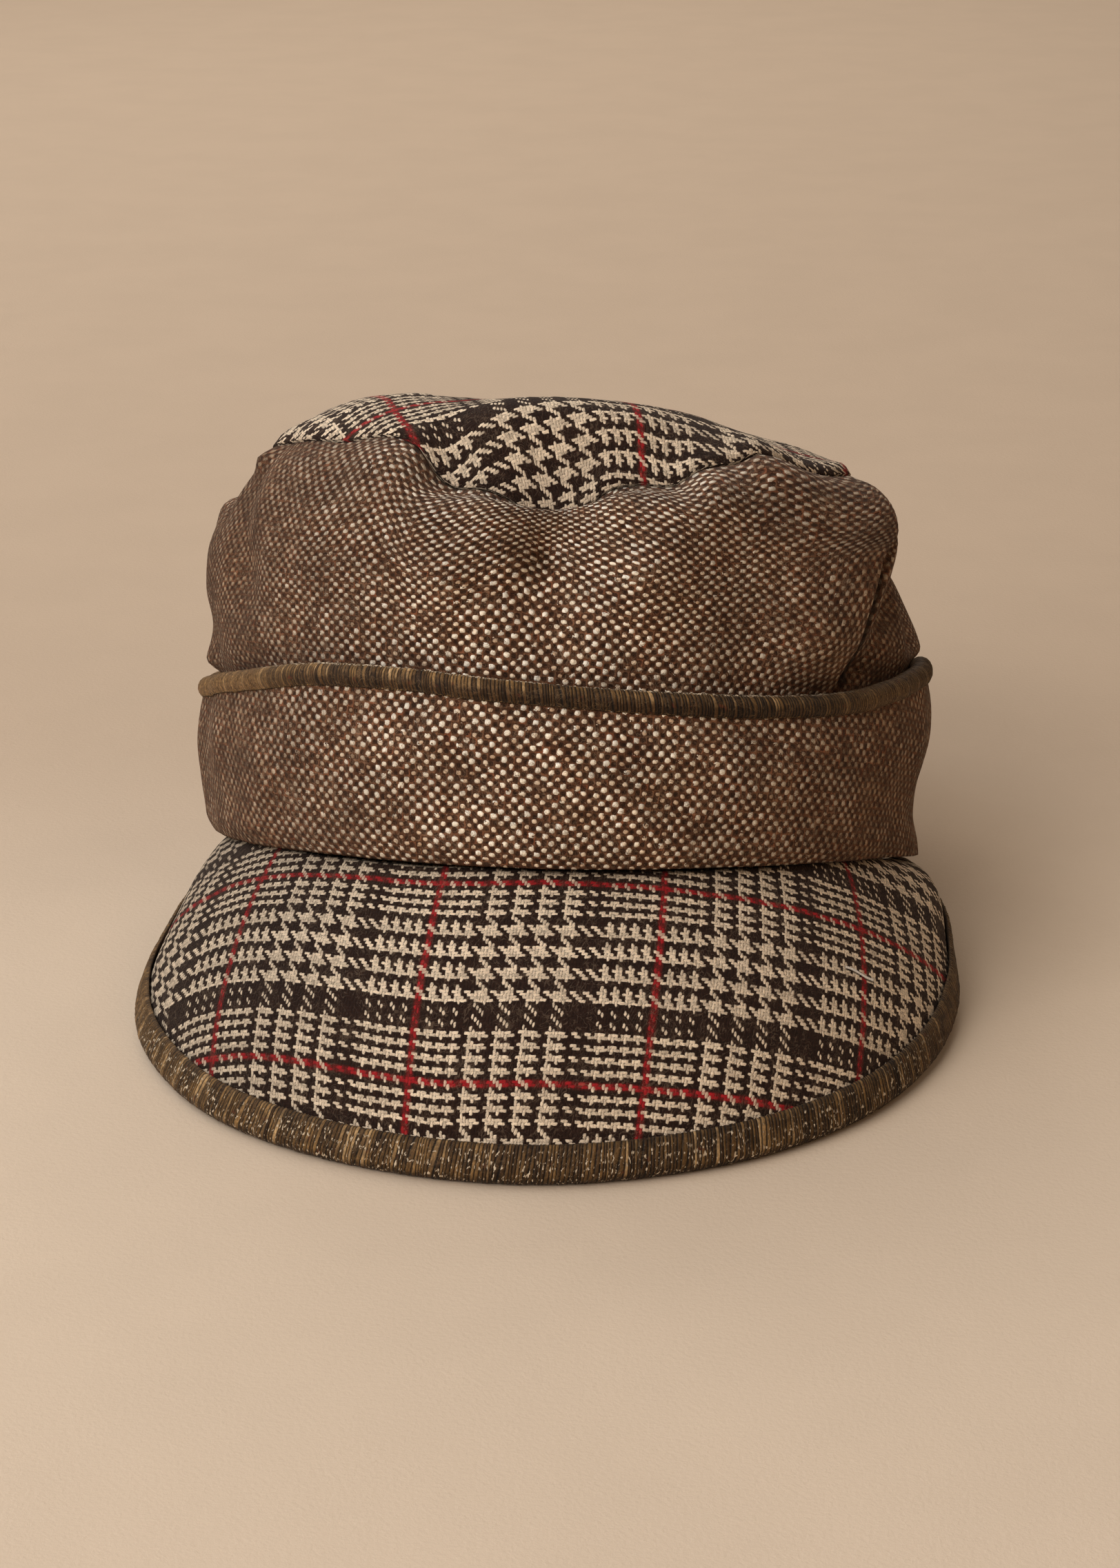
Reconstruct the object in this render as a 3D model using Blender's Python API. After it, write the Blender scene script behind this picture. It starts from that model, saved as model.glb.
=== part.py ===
"""Peaked tweed cap with a turned-up cuff, standing on a surface.

The cap is worked out in its own frame first: X to the wearer's left, V from the peak (negative) to the
nape, W up from the rim. stand() then leans it back, because the peak props up the front of the rim,
and lets the soft nape flatten where it rests. Lengths are in metres, +Z is up, the peak points along -Y.
"""

import math

import bmesh
import bpy
from mathutils import Vector

MM = 0.001

# Cloth and trim
CLOTH = 2.4 * MM  # brushed wool tweed with its backing
GAP = 0.45 * MM  # between pieces that are sewn together
PEAK_THICK = 3.2 * MM  # board between two layers of cloth
BINDING_CLOTH = 1.3 * MM

# Head opening, at the outer face of the crown's cloth
RIM_HALF_WIDTH = 88.5 * MM
RIM_HALF_DEPTH = 95 * MM

# How the cap stands
LEAN = math.radians(18.5)
NAPE_SINK = 6 * MM  # how far the nape would dip below the surface if the cloth were stiff
SOFT_ZONE = 5 * MM  # height over which the cloth gives way to the surface
HEAD_CENTRE = Vector((1.8 * MM, 15.5 * MM, 0))  # puts the middle of the base at the origin

# Crown
TIP_CENTRE_HEIGHT = 111 * MM
FOLD_START = 2 * MM  # above the cuff, where the folds begin
FOLD_FULL = 11 * MM  # and where they have their full depth
TIP_ROUNDNESS = 4.2  # 2 is a round dome, and more is flatter with a tighter edge

SLUMP_HEIGHT = 40 * MM  # where the sag of the rim has faded out
TUCK_HEIGHT = 12 * MM  # middle of the fold above the rim on the slumped side
TUCK_HALF_HEIGHT = 13 * MM

# Cuff
CUFF_FOOT_OFFSET = 0.4 * MM  # clearance between the crown's cloth and the cuff at the rim
CUFF_LIP_OFFSET = 3.5 * MM  # and at the cuff's upper edge, where the binding passes behind
BINDING_HALF_HEIGHT = 2.9 * MM
BINDING_HALF_DEPTH = 2.9 * MM

# Peak
PEAK_END_ANGLE = 86  # degrees either side of the front where the peak runs out
PEAK_CROWN = 7 * MM  # how far the peak bows out between its seam and its edge
PEAK_SEAM_INSET = 3 * MM  # how far the peak reaches in under the cuff
PEAK_SEAM_DROP = 0.85 * MM  # from the rim down to the peak's upper face
EDGE_BINDING_WIDTH = 6.5 * MM
EDGE_ROLL = 2.8 * MM  # how far the braid stands out past the peak's edge

# Sections
COLUMNS = 64  # sections around the crown and the cuff
FRONT_DENSITY = 0.35  # how much closer the sections stand at the front than at the nape
TIP_RINGS = (1.0, 0.94, 0.86, 0.74, 0.58, 0.4, 0.2, 0.05)
PEAK_SECTIONS = 31
PEAK_STEPS = 7

# Height of the seam between the crown's side and its tip, by angle from the front (positive to +X)
SEAM_ROWS = (
    # angle, height
    (-180, 86),
    (-130, 86),
    (-95, 87),
    (-75, 89),
    (-58, 94),
    (-42, 98),
    (-20, 99.5),
    (0, 101),
    (22, 97),
    (42, 94.5),
    (62, 91),
    (85, 86),
    (120, 86),
)

# Outline of the crown's side: share of the seam height, and offset outwards from the rim
SIDE_ROWS = (
    # share, offset
    (0.0, 0.0),
    (0.12, 0.2),
    (0.26, 0.3),
    (0.39, 0.3),
    (0.47, 1.0),
    (0.56, 2.2),
    (0.65, 3.2),
    (0.74, 3.6),
    (0.82, 2.8),
    (0.89, 0.6),
    (0.95, -3.0),
    (1.0, -8.0),
)

# Dents (negative) and swells (positive) of the crown. Each is a line in the cloth from one point to
# another, both given by angle and height above the rim, with inset counted in from the side's outline.
FOLD_ROWS = (
    # name, angle, height, inset, to angle, to height, to inset, half width, outwards, upwards
    ("dent_edge", -15, 98, 8, 12, 98, 8, 13, -3, -8),
    ("dent_middle", 0, 97, 8, 3, 97, 8, 12, -3, -9),
    ("dent_back", -2, 106, 30, 3, 108, 48, 24, 0, -9),
    ("dent_foot", 0, 84, 3, 1, 66, 0, 11, -7, 0),
    ("left_ridge", -28, 88, 6, -12, 70, 0, 9, 3, 1),
    ("right_ridge", 25, 86, 6, 12, 70, 0, 9, 3, 1),
    ("front_right_swell", 42, 54, 0, 58, 78, 2, 12, 5, 0),
    ("pleat", 51, 42, 0, 66, 68, 0, 6, -6, 0),
    ("right_hollow", 78, 68, 0, 118, 72, 0, 13, -10, 0),
    ("right_rear_swell", 92, 46, 0, 108, 46, 0, 9, 4, 0),
    ("left_shoulder", -62, 92, 4, -60, 66, 0, 9, -3.5, 0),
    ("left_swell", -88, 70, 0, -98, 48, 0, 16, 2.5, 0),
    ("tip_left_rise", -50, 104, 22, -80, 104, 26, 20, 0, 2.5),
    ("tip_right_fall", 50, 106, 26, 100, 106, 30, 28, 0, -5),
)

# Height of the cuff's upper edge
CUFF_ROWS = (
    # angle, height
    (-180, 43),
    (-120, 41),
    (-92, 36.5),
    (-60, 40),
    (-32, 42.5),
    (-8, 40),
    (14, 38),
    (34, 36.5),
    (52, 37),
    (72, 39.5),
    (90, 43),
    (125, 44),
)

# How far the rim sags below its plane, and tucks in: the cap has slumped a little to one side
RIM_ROWS = (
    # angle, sag, tuck
    (-180, 0, 0),
    (-85, 0, 0.5),
    (-45, 0, 0),
    (0, 1, 0),
    (45, 3, 0.5),
    (65, 4, 2),
    (88, 5, 4),
    (120, 2, 1),
)

# The peak's edge, standing: places by section from one end to the other
PEAK_EDGE_ROWS = (
    # share, x, y, z
    (0.0, -89.0, -3.0, 22.5),
    (0.06, -95.5, -18.0, 16.0),
    (0.12, -99.5, -38.0, 10.5),
    (0.18, -101.5, -62.0, 5.5),
    (0.25, -94.0, -89.0, 3.6),
    (0.33, -72.0, -118.0, 3.4),
    (0.41, -39.5, -137.5, 3.4),
    (0.5, 0.5, -144.5, 3.4),
    (0.59, 40.0, -134.5, 3.4),
    (0.67, 67.5, -113.0, 3.4),
    (0.75, 84.0, -84.0, 3.6),
    (0.82, 94.5, -55.0, 5.0),
    (0.88, 98.0, -33.0, 8.5),
    (0.94, 96.5, -17.0, 13.5),
    (1.0, 90.0, -3.0, 18.0),
)


def smooth_step(low, high, value):
    """0 below low, 1 above high, and an even curve between them."""
    share = min(max((value - low) / (high - low), 0.0), 1.0)
    return share * share * (3 - 2 * share)


def through(rows, place, period=None):
    """Reads a table at a place on a smooth curve through its rows, for every column after the first."""
    places = [row[0] for row in rows]
    count = len(rows)
    if period:
        place = (place - places[0]) % period + places[0]
    index = max(i for i in range(count) if places[i] <= place + 1e-12)

    def row(i):
        if period:
            turns, wrapped = divmod(i, count)
            return (rows[wrapped][0] + turns * period, *rows[wrapped][1:])
        return rows[min(max(i, 0), count - 1)]

    before, here, after, beyond = (row(index + step) for step in (-1, 0, 1, 2))
    span = after[0] - here[0]
    if span <= 0:
        return here[1:]
    t = (place - here[0]) / span
    found = []
    for a, b, c, d in zip(before[1:], here[1:], after[1:], beyond[1:]):
        slope_in = (c - a) / max(after[0] - before[0], 1e-9) * span
        slope_out = (d - b) / max(beyond[0] - here[0], 1e-9) * span
        found.append(
            b * (1 + 2 * t) * (1 - t) ** 2
            + slope_in * t * (1 - t) ** 2
            + c * t * t * (3 - 2 * t)
            + slope_out * t * t * (t - 1)
        )
    return tuple(found)


def by_angle(rows, angle, column=0):
    """A table's value in metres at an angle in radians from the front."""
    return through(rows, math.degrees(angle), 360)[column] * MM


def outline(angle, offset):
    """A point of the head opening's oval in the cap's frame, moved outwards by offset."""
    out = Vector((math.sin(angle) / RIM_HALF_WIDTH, -math.cos(angle) / RIM_HALF_DEPTH, 0)).normalized()
    point = Vector((RIM_HALF_WIDTH * math.sin(angle), -RIM_HALF_DEPTH * math.cos(angle), 0))
    return point + out * offset


def slump(angle, height):
    """(how far down, how far in) the slumped side hangs at a height above the rim."""
    sag = by_angle(RIM_ROWS, angle) * (1 - smooth_step(0, SLUMP_HEIGHT, height))
    tuck = by_angle(RIM_ROWS, angle, 1) * math.exp(-(((height - TUCK_HEIGHT) / TUCK_HALF_HEIGHT) ** 2))
    return sag, tuck


def smooth_skin(angle, reach):
    """The crown before its folds. reach is 0 at the rim, 1 at the seam of the tip and 2 at its centre."""
    seam = by_angle(SEAM_ROWS, angle)
    if reach <= 1:
        height = reach * seam
        offset = through(SIDE_ROWS, reach)[0] * MM
        sag, tuck = slump(angle, height)
        return outline(angle, offset - tuck) + Vector((0, 0, height - sag))
    ring = 2 - reach
    edge = outline(angle, SIDE_ROWS[-1][1] * MM) * ring
    rise = (TIP_CENTRE_HEIGHT - seam) * (1 - ring**TIP_ROUNDNESS)
    return edge + Vector((0, 0, seam + rise))


def fold_ends(row):
    """The two ends of a fold's line in the cap's frame."""
    for angle, height, inset in (row[1:4], row[4:7]):
        yield outline(math.radians(angle), -inset * MM) + Vector((0, 0, height * MM))


FOLDS = [(*fold_ends(row), row[7] * MM, row[8] * MM, row[9] * MM) for row in FOLD_ROWS]


def skin(angle, reach):
    """The crown's outer face with its folds, in the cap's frame."""
    point = smooth_skin(angle, reach)
    cuff_top = by_angle(CUFF_ROWS, angle)
    free = smooth_step(cuff_top + FOLD_START, cuff_top + FOLD_FULL, point.z)
    out = Vector((math.sin(angle), -math.cos(angle), 0))
    moved = point.copy()
    for start, end, width, outwards, upwards in FOLDS:
        line = end - start
        share = (point - start).dot(line) / max(line.length_squared, 1e-12)
        near = start + line * min(max(share, 0.0), 1.0)
        strength = math.exp(-(((point - near).length / width) ** 2))
        moved += (out * outwards + Vector((0, 0, upwards))) * strength * free
    return moved


def skin_normal(angle, reach, step=0.01):
    """The outward direction of the crown's outer face."""
    low, high = max(reach - step, 0.0), min(reach + step, 1.99)
    along = skin(angle + step, reach) - skin(angle - step, reach)
    up = skin(angle, high) - skin(angle, low)
    return along.cross(up).normalized()


def cuff_face(angle, share, offset):
    """A point of the cuff: share is 0 at the rim and 1 at its upper edge, offset is from the crown's cloth."""
    top = by_angle(CUFF_ROWS, angle)
    height = share * top
    stand_off = CUFF_FOOT_OFFSET + (CUFF_LIP_OFFSET - CUFF_FOOT_OFFSET) * smooth_step(0, 0.8, share)
    swell = 1.2 * MM * math.sin(math.pi * share)
    sag, tuck = slump(angle, height)
    point = outline(angle, 0.3 * MM + stand_off + swell + offset - tuck)
    return point + Vector((0, 0, height - sag))


def stand(point):
    """Leans the cap back and lets the nape flatten on the surface."""
    x, v, w = point
    y = v * math.cos(LEAN) + w * math.sin(LEAN)
    z = w * math.cos(LEAN) - v * math.sin(LEAN) + RIM_HALF_DEPTH * math.sin(LEAN) - NAPE_SINK
    if z < SOFT_ZONE:
        z = max(z + SOFT_ZONE, 0.0) ** 2 / (4 * SOFT_ZONE)
    return Vector((x, y, z)) + HEAD_CENTRE


def columns():
    """Angles of the sections, closer together at the front."""
    for index in range(COLUMNS):
        even = 2 * math.pi * index / COLUMNS
        yield even - FRONT_DENSITY * math.sin(even)


def loft(name, rings, cloth, closed):
    """A solid through rings: closed joins the last to the first, and otherwise both ends are filled."""
    loops = rings + rings[:1] if closed else rings
    around = len(rings[0])
    bm = bmesh.new()
    bmesh.ops.create_grid(bm, x_segments=around, y_segments=len(loops) - 1, size=1)
    places = [loop[index % around] for loop in loops for index in range(around + 1)]
    for vert, place in zip(bm.verts, places):
        vert.co = place
    bmesh.ops.remove_doubles(bm, verts=bm.verts[:], dist=1e-6)
    bmesh.ops.holes_fill(bm, edges=[edge for edge in bm.edges if edge.is_boundary], sides=0)
    bmesh.ops.triangulate(bm, faces=bm.faces[:])
    bmesh.ops.recalc_face_normals(bm, faces=bm.faces[:])
    mesh = bpy.data.meshes.new(name)
    bm.to_mesh(mesh)
    bm.free()
    mesh.shade_smooth()
    mesh.set_sharp_from_angle(angle=math.radians(50))
    mesh.materials.append(cloth)
    piece = bpy.data.objects.new(name, mesh)
    bpy.context.scene.collection.objects.link(piece)
    return piece


def material(name, colour, roughness):
    made = bpy.data.materials.new(name)
    made.use_nodes = True
    surface = made.node_tree.nodes["Principled BSDF"]
    surface.inputs["Base Color"].default_value = (*colour, 1)
    surface.inputs["Roughness"].default_value = roughness
    surface.inputs["Metallic"].default_value = 0
    return made


def crown_side(cloth):
    """The side of the crown: a wall from the rim to the seam of the tip."""
    angles = list(columns())
    rows = [row[0] for row in SIDE_ROWS]
    rows[-1] -= GAP / (2 * SEAM_ROWS[0][1] * MM)
    outer = [[skin(angle, reach) for angle in angles] for reach in rows]
    inner = [
        [skin(angle, reach) - skin_normal(angle, reach) * CLOTH for angle in angles] for reach in rows
    ]
    rings = [[stand(point) for point in ring] for ring in outer + inner[::-1]]
    return loft("crown_side", rings, cloth, closed=True)


def crown_tip(cloth):
    """The round panel on top of the crown."""
    angles = list(columns())
    reaches = [2 - ring for ring in TIP_RINGS]
    reaches[0] += GAP / RIM_HALF_WIDTH
    outer = [[skin(angle, reach) for angle in angles] for reach in reaches]
    inner = [
        [skin(angle, reach) - skin_normal(angle, reach) * CLOTH for angle in angles] for reach in reaches
    ]
    rings = [[stand(point) for point in ring] for ring in outer[::-1] + inner]
    return loft("crown_tip", rings, cloth, closed=False)


def cuff(cloth):
    """The band turned up round the outside of the crown."""
    shares = (0.0, 0.14, 0.36, 0.6, 0.82, 1.0)
    angles = list(columns())
    inner = [[cuff_face(angle, share, 0) for angle in angles] for share in shares]
    outer = [[cuff_face(angle, share, CLOTH) for angle in angles] for share in shares]
    rings = [[stand(point) for point in ring] for ring in outer + inner[::-1]]
    return loft("cuff", rings, cloth, closed=True)


def cuff_binding(braid):
    """Braid wrapped over the cuff's upper edge."""
    tall, deep, slot = BINDING_HALF_HEIGHT, BINDING_HALF_DEPTH, CLOTH / 2 + GAP
    section = (
        # up the cloth past its edge, outwards through the cloth
        (-tall, deep * 0.8),
        (0, deep),
        (tall * 0.75, deep * 0.66),
        (tall, 0),
        (tall * 0.75, -deep * 0.66),
        (0, -deep),
        (-tall, -deep * 0.8),
        (-tall, -slot),
        (GAP, -slot),
        (GAP, slot),
        (-tall, slot),
    )
    rings = []
    for angle in columns():
        middle = cuff_face(angle, 1.0, CLOTH / 2)
        below = cuff_face(angle, 0.94, CLOTH / 2)
        up = (middle - below).normalized()
        out = (outline(angle, MM) - outline(angle, 0)).normalized()
        across = (out - up * out.dot(up)).normalized()
        rings.append([stand(middle + up * rise + across * depth) for rise, depth in section])
    return loft("cuff_binding", rings, braid, closed=True)


def peak_line(share):
    """The seam, the swell and the edge that shape the peak at one section, standing."""
    angle = math.radians((2 * share - 1) * PEAK_END_ANGLE)
    seam = cuff_face(angle, 0, 0)
    out = (outline(angle, MM) - outline(angle, 0)).normalized()
    seam = stand(seam - out * PEAK_SEAM_INSET - Vector((0, 0, PEAK_SEAM_DROP)))
    edge = Vector(through(PEAK_EDGE_ROWS, share)) * MM + HEAD_CENTRE
    return seam, edge, out


def peak_point(share, step):
    """The peak's upper face: step is 0 at the seam and 1 at the edge."""
    seam, edge, out = peak_line(share)
    chord = edge - seam
    lift = Vector((out.x, out.y * math.cos(LEAN), 0.45)).normalized()
    bow = lift * min(PEAK_CROWN, chord.length * 0.1)
    return seam + chord * step + bow * 4 * step * (1 - step)


def peak_frame(share, step, width=0.02):
    """(outwards along the peak, square to its face) at a point of the upper face."""
    left, right = max(share - width, 0.0), min(share + width, 1.0)
    inner, outer = max(step - width, 0.0), min(step + width, 1.0)
    across = peak_point(right, step) - peak_point(left, step)
    along = (peak_point(share, outer) - peak_point(share, inner)).normalized()
    normal = across.cross(along).normalized()
    return along, normal if normal.z > 0 else -normal


def peak_place(share, back, rise):
    """A point near the peak's edge: back is measured inwards from it and rise above the upper face."""
    seam, edge, _ = peak_line(share)
    along, normal = peak_frame(share, 1.0)
    if back <= 0:
        return peak_point(share, 1.0) - along * back + normal * rise
    step = 1 - back / (edge - seam).length
    return peak_point(share, step) + peak_frame(share, step)[1] * rise


def peak_shares():
    """The peak's sections, which stop just short of the ends of its tables."""
    for index in range(PEAK_SECTIONS):
        yield 0.01 + 0.98 * index / (PEAK_SECTIONS - 1)


def peak(cloth):
    """The stiff peak: cloth over a board, from under the cuff to the braid on its edge."""
    steps = [count / PEAK_STEPS for count in range(PEAK_STEPS + 1)]
    rings = []
    for share in peak_shares():
        top = [peak_point(share, step) for step in steps]
        under = [point - peak_frame(share, step)[1] * PEAK_THICK for point, step in zip(top, steps)]
        rings.append(top + under[::-1])
    return loft("peak", rings, cloth, closed=False)


def peak_binding(braid):
    """Braid wrapped over the peak's edge, flattened where it rests."""
    rings = []
    for share in peak_shares():
        seam, edge, _ = peak_line(share)
        width = min(EDGE_BINDING_WIDTH, (edge - seam).length * 0.5)
        above, below, roll = GAP, -PEAK_THICK - GAP, EDGE_ROLL
        section = (
            # back from the edge, above the upper face
            (width, above + BINDING_CLOTH * 0.8),
            (width * 0.5, above + BINDING_CLOTH),
            (0, above + BINDING_CLOTH),
            (-roll * 0.75, above),
            (-roll, -PEAK_THICK / 2),
            (-roll * 0.75, below),
            (0, below - BINDING_CLOTH),
            (width * 0.5, below - BINDING_CLOTH),
            (width, below - BINDING_CLOTH * 0.8),
            (width, below),
            (width * 0.5, below),
            (-GAP, below),
            (-GAP, above),
            (width * 0.5, above),
            (width, above),
        )
        ring = [peak_place(share, back, rise) for back, rise in section]
        rings.append([Vector((x, y, max(z, 0.0))) for x, y, z in ring])
    return loft("peak_binding", rings, braid, closed=False)


def main():
    for leftover in list(bpy.data.objects):
        bpy.data.objects.remove(leftover)
    tweed = material("birdseye_tweed", (0.19, 0.12, 0.08), 0.95)
    plaid = material("glen_plaid", (0.17, 0.12, 0.09), 0.95)
    braid = material("olive_braid", (0.10, 0.06, 0.03), 0.8)
    crown_side(tweed)
    crown_tip(plaid)
    cuff(tweed)
    cuff_binding(braid)
    peak(plaid)
    peak_binding(braid)


main()
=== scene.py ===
"""Looks of a peaked tweed cap with a turned-up cuff, standing on its nape and its peak.

The cap is worked out in its own frame first: X to the wearer's left, V from the peak (negative) to the
nape, W up from the rim. stand() then leans it back, because the peak props up the front of the rim, and
lets the soft nape flatten where it rests. Lengths are in metres, and cloth maps are in millimetres.
"""

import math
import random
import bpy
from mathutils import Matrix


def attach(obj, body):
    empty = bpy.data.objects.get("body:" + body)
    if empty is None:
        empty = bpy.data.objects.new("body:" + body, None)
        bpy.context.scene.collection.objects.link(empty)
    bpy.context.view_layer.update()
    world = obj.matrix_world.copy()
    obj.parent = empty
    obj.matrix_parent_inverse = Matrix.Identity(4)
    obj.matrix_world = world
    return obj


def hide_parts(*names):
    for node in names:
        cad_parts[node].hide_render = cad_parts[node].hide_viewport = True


bl_info = {
    "name": "Tweed cap",
    "version": (1, 0, 0),
    "blender": (4, 5, 0),
    "location": "3D View > Sidebar > Cap",
    "description": "Builds the cloth, braid and stage of a peaked tweed cap",
    "category": "Object",
}

from functools import lru_cache

import bmesh
import bpy
from bpy.props import FloatProperty, FloatVectorProperty, PointerProperty
from mathutils import Vector, noise

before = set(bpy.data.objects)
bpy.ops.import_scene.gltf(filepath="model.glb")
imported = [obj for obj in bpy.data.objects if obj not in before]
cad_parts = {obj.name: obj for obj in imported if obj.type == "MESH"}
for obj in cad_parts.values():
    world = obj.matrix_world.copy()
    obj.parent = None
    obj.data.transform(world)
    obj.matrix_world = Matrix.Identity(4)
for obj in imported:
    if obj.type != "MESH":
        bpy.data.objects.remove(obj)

MM = 0.001

# ---------------------------------------------------------------- sizes and tables of the cap

CLOTH = 2.4 * MM  # brushed wool tweed with its backing
GAP = 0.45 * MM  # between pieces that are sewn together
PEAK_THICK = 3.2 * MM
BINDING_CLOTH = 1.3 * MM
RIM_HALF_WIDTH = 88.5 * MM  # of the head opening's oval
RIM_HALF_DEPTH = 95 * MM
LEAN = math.radians(18.5)
NAPE_SINK = 6 * MM  # how far the nape would go below the surface if it were stiff
SOFT_ZONE = 5 * MM  # height over which it flattens instead
HEAD_CENTRE = Vector((1.8 * MM, 15.5 * MM, 0))  # on the surface, under the middle of the head opening

TIP_CENTRE_HEIGHT = 109 * MM  # above the rim
TIP_ROUNDNESS = 6
FOLD_START = 1.0 * MM  # above the cuff, where the crown's folds begin
FOLD_FULL = 7.5 * MM
SLUMP_HEIGHT = 40 * MM  # above the rim, where the sag ends
TUCK_HEIGHT = 12 * MM  # above the rim, where the tuck is deepest
TUCK_HALF_HEIGHT = 13 * MM

CUFF_STAND_OFF = 0.3 * MM  # from the oval
CUFF_FOOT_OFFSET = 0.4 * MM  # and how much further at the cuff's foot
CUFF_LIP_OFFSET = 3.5 * MM  # and at its upper edge
CUFF_LIP_SHARE = 0.8  # of the cuff's height, above which it stands out no further
CUFF_SWELL = 1.2 * MM  # halfway up
BINDING_HALF_HEIGHT = 2.9 * MM
BINDING_HALF_DEPTH = 2.9 * MM

PEAK_END_ANGLE = 86  # degrees from the front where the peak's seam ends
PEAK_END_MARGIN = 0.01  # how far from the ends of its tables the peak's first and last sections are
PEAK_CROWN = 7 * MM  # the most that the peak bows
PEAK_BOW = 0.1  # how far it may bow, as a share of its depth there
PEAK_BOW_RISE = 0.45  # how much of the bow is upwards
PEAK_END_BULGES = (0.09, 0.22)  # how much rounder the cloth turns down over the peak's two ends
PEAK_ENDS = (0.04, 0.2)  # shares of the peak from its ends, between which that dies out
PEAK_SEAM_INSET = 3 * MM
PEAK_SEAM_DROP = 0.85 * MM
EDGE_BINDING_WIDTH = 6.5 * MM  # of the braid on the peak's upper face
EDGE_ROLL = 2.8 * MM  # how far it stands out beyond the edge

FRONT_DENSITY = 0.35  # how much closer the columns stand at the front than at the nape

# Lengths in the tables are in millimetres, and angles in degrees from the front, positive to +X.

# Height of the seam between the crown's side and its tip
SEAM_ROWS = (
    # angle, height
    (-180, 86),
    (-130, 86),
    (-95, 87),
    (-75, 89),
    (-58, 94),
    (-42, 98),
    (-20, 99.5),
    (0, 101),
    (22, 97),
    (42, 94.5),
    (62, 91),
    (85, 86),
    (120, 86),
)

# How the seam rises and falls beside that, where the dent and the lobes of the crown pull it
SEAM_PULL_ROWS = (
    # angle, rise
    (-180, 0),
    (-95, 0),
    (-82, -1.0),
    (-73, 1.5),
    (-64, 4.6),
    (-52, 1.6),
    (-40, -1.4),
    (-30, 0.0),
    (-24.5, -0.6),
    (-20, -5.4),
    (-14, -5.0),
    (-7, -5.0),
    (0, -4.4),
    (4, -1.4),
    (8.5, 1.4),
    (14, -0.8),
    (20, -5.4),
    (24.5, -3.6),
    (31, -1.6),
    (36, 2.0),
    (48, 1.8),
    (62, 4.8),
    (76, 3.4),
    (95, 0),
)
SEAM_PULL_WIDTH = 12 * MM  # how far down from the seam the side follows it
TIP_PULL_WIDTH = 8 * MM  # and how far in the tip does

# Outline of the crown's side: share of the seam height, and offset outwards from the rim
SIDE_ROWS = (
    # share, offset
    (0.0, 0.0),
    (0.12, 0.2),
    (0.26, 0.3),
    (0.39, 0.3),
    (0.47, 1.0),
    (0.56, 2.2),
    (0.65, 3.2),
    (0.74, 3.6),
    (0.82, 2.8),
    (0.89, 0.6),
    (0.95, -3.0),
    (1.0, -8.0),
)

# Dents (negative) and swells (positive) of the crown. Each is a line in the cloth from one point to
# another, both given by angle, height above the rim, and inset from the oval of the head opening.
# A fold that drags the seam has a tip width of its own: how far in from the seam the tip follows it.
FOLD_ROWS = (
    # name, angle, height, inset, to angle, to height, to inset, half width, tip width, outwards, upwards
    ("dent_edge", -15, 98, 8, 12, 98, 8, 13, 7, -3, -8),
    ("dent_middle", 0, 97, 8, 3, 97, 8, 12, 7, -3, -12),
    ("dent_foot", 0, 84, 3, 0, 66, 0, 11, 0, -7.5, 0),
    ("dent_left_valley", -8, 92, 6, -2, 69, 0, 4.5, 0, -7.5, 0),
    ("dent_right_valley", 8, 91, 6, 0, 73, 0, 4, 0, -5, 0),
    ("dent_mound", -2, 90, 5, -1, 83, 3, 3.2, 0, 2.6, 0),
    ("left_ridge", -27, 88, 6, -16, 66, 0, 8, 0, 4.4, 1),
    ("right_ridge", 24, 86, 6, 14, 66, 0, 8, 0, 4.6, 1),
    ("front_right_swell", 42, 54, 0, 58, 78, 2, 12, 0, 5, 0),
    ("pleat", 53, 42, 0, 68, 68, 0, 5, 0, -4, 0),
    ("right_hollow", 78, 68, 0, 118, 72, 0, 13, 0, -10, 0),
    ("right_rear_swell", 92, 46, 0, 108, 46, 0, 9, 0, 4, 0),
    ("left_shoulder", -62, 92, 4, -60, 66, 0, 9, 0, -3.5, 0),
    ("left_swell", -88, 70, 0, -98, 48, 0, 16, 0, 2.5, 0),
    ("tip_left_rise", -50, 104, 22, -80, 104, 26, 20, 0, 0, 2.5),
    ("tip_right_fall", 56, 106, 23, 100, 106, 29, 26, 0, 0, -6.5),
    ("left_step", -74, 97, 3, -75, 84, 0, 4.5, 0, -6.0, -1.5),
    ("left_lobe", -64, 97.5, 5.2, -63, 92, 3.5, 5.2, 0, 6.2, 0),
    ("left_low_swell", -84, 58, 0, -86, 44, 0, 8, 0, 2.0, 0),
    ("left_rear_lobe", -84, 84, 0, -90, 62, 0, 10, 0, 1.5, 0),
    ("left_base_swell", -86, 42, 0, -106, 42, 0, 8, 0, 3.0, 0),
    ("right_notch", 74, 79, 0, 100, 73, 0, 6, 0, -7.0, 0),
    ("right_shoulder", 56, 90, 5, 70, 88, 5, 7, 0, -1.0, -0.6),
    ("lobe_narrow", 64, 62, 0, 70, 90, 3, 9, 0, -5.2, 0),
    ("right_narrow", 86, 56, 0, 80, 92, 3, 14, 0, -5.6, -1.0),
    ("left_narrow", -86, 54, 0, -86, 74, 0, 9, 0, -2.2, 0),
    ("left_rear_rise", -92, 86, 2, -100, 84, 2, 8, 0, 5.5, 1.0),
)

# Height of the cuff's upper edge
CUFF_ROWS = (
    # angle, height
    (-180, 43),
    (-120, 41),
    (-92, 36.0),
    (-60, 38.5),
    (-36, 41.6),
    (-22, 41.0),
    (-8, 39.0),
    (5, 37.4),
    (20, 36.2),
    (34, 35.6),
    (48, 36.4),
    (62, 39.6),
    (78, 43.0),
    (90, 43.5),
    (102, 40.5),
    (125, 40),
)

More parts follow.
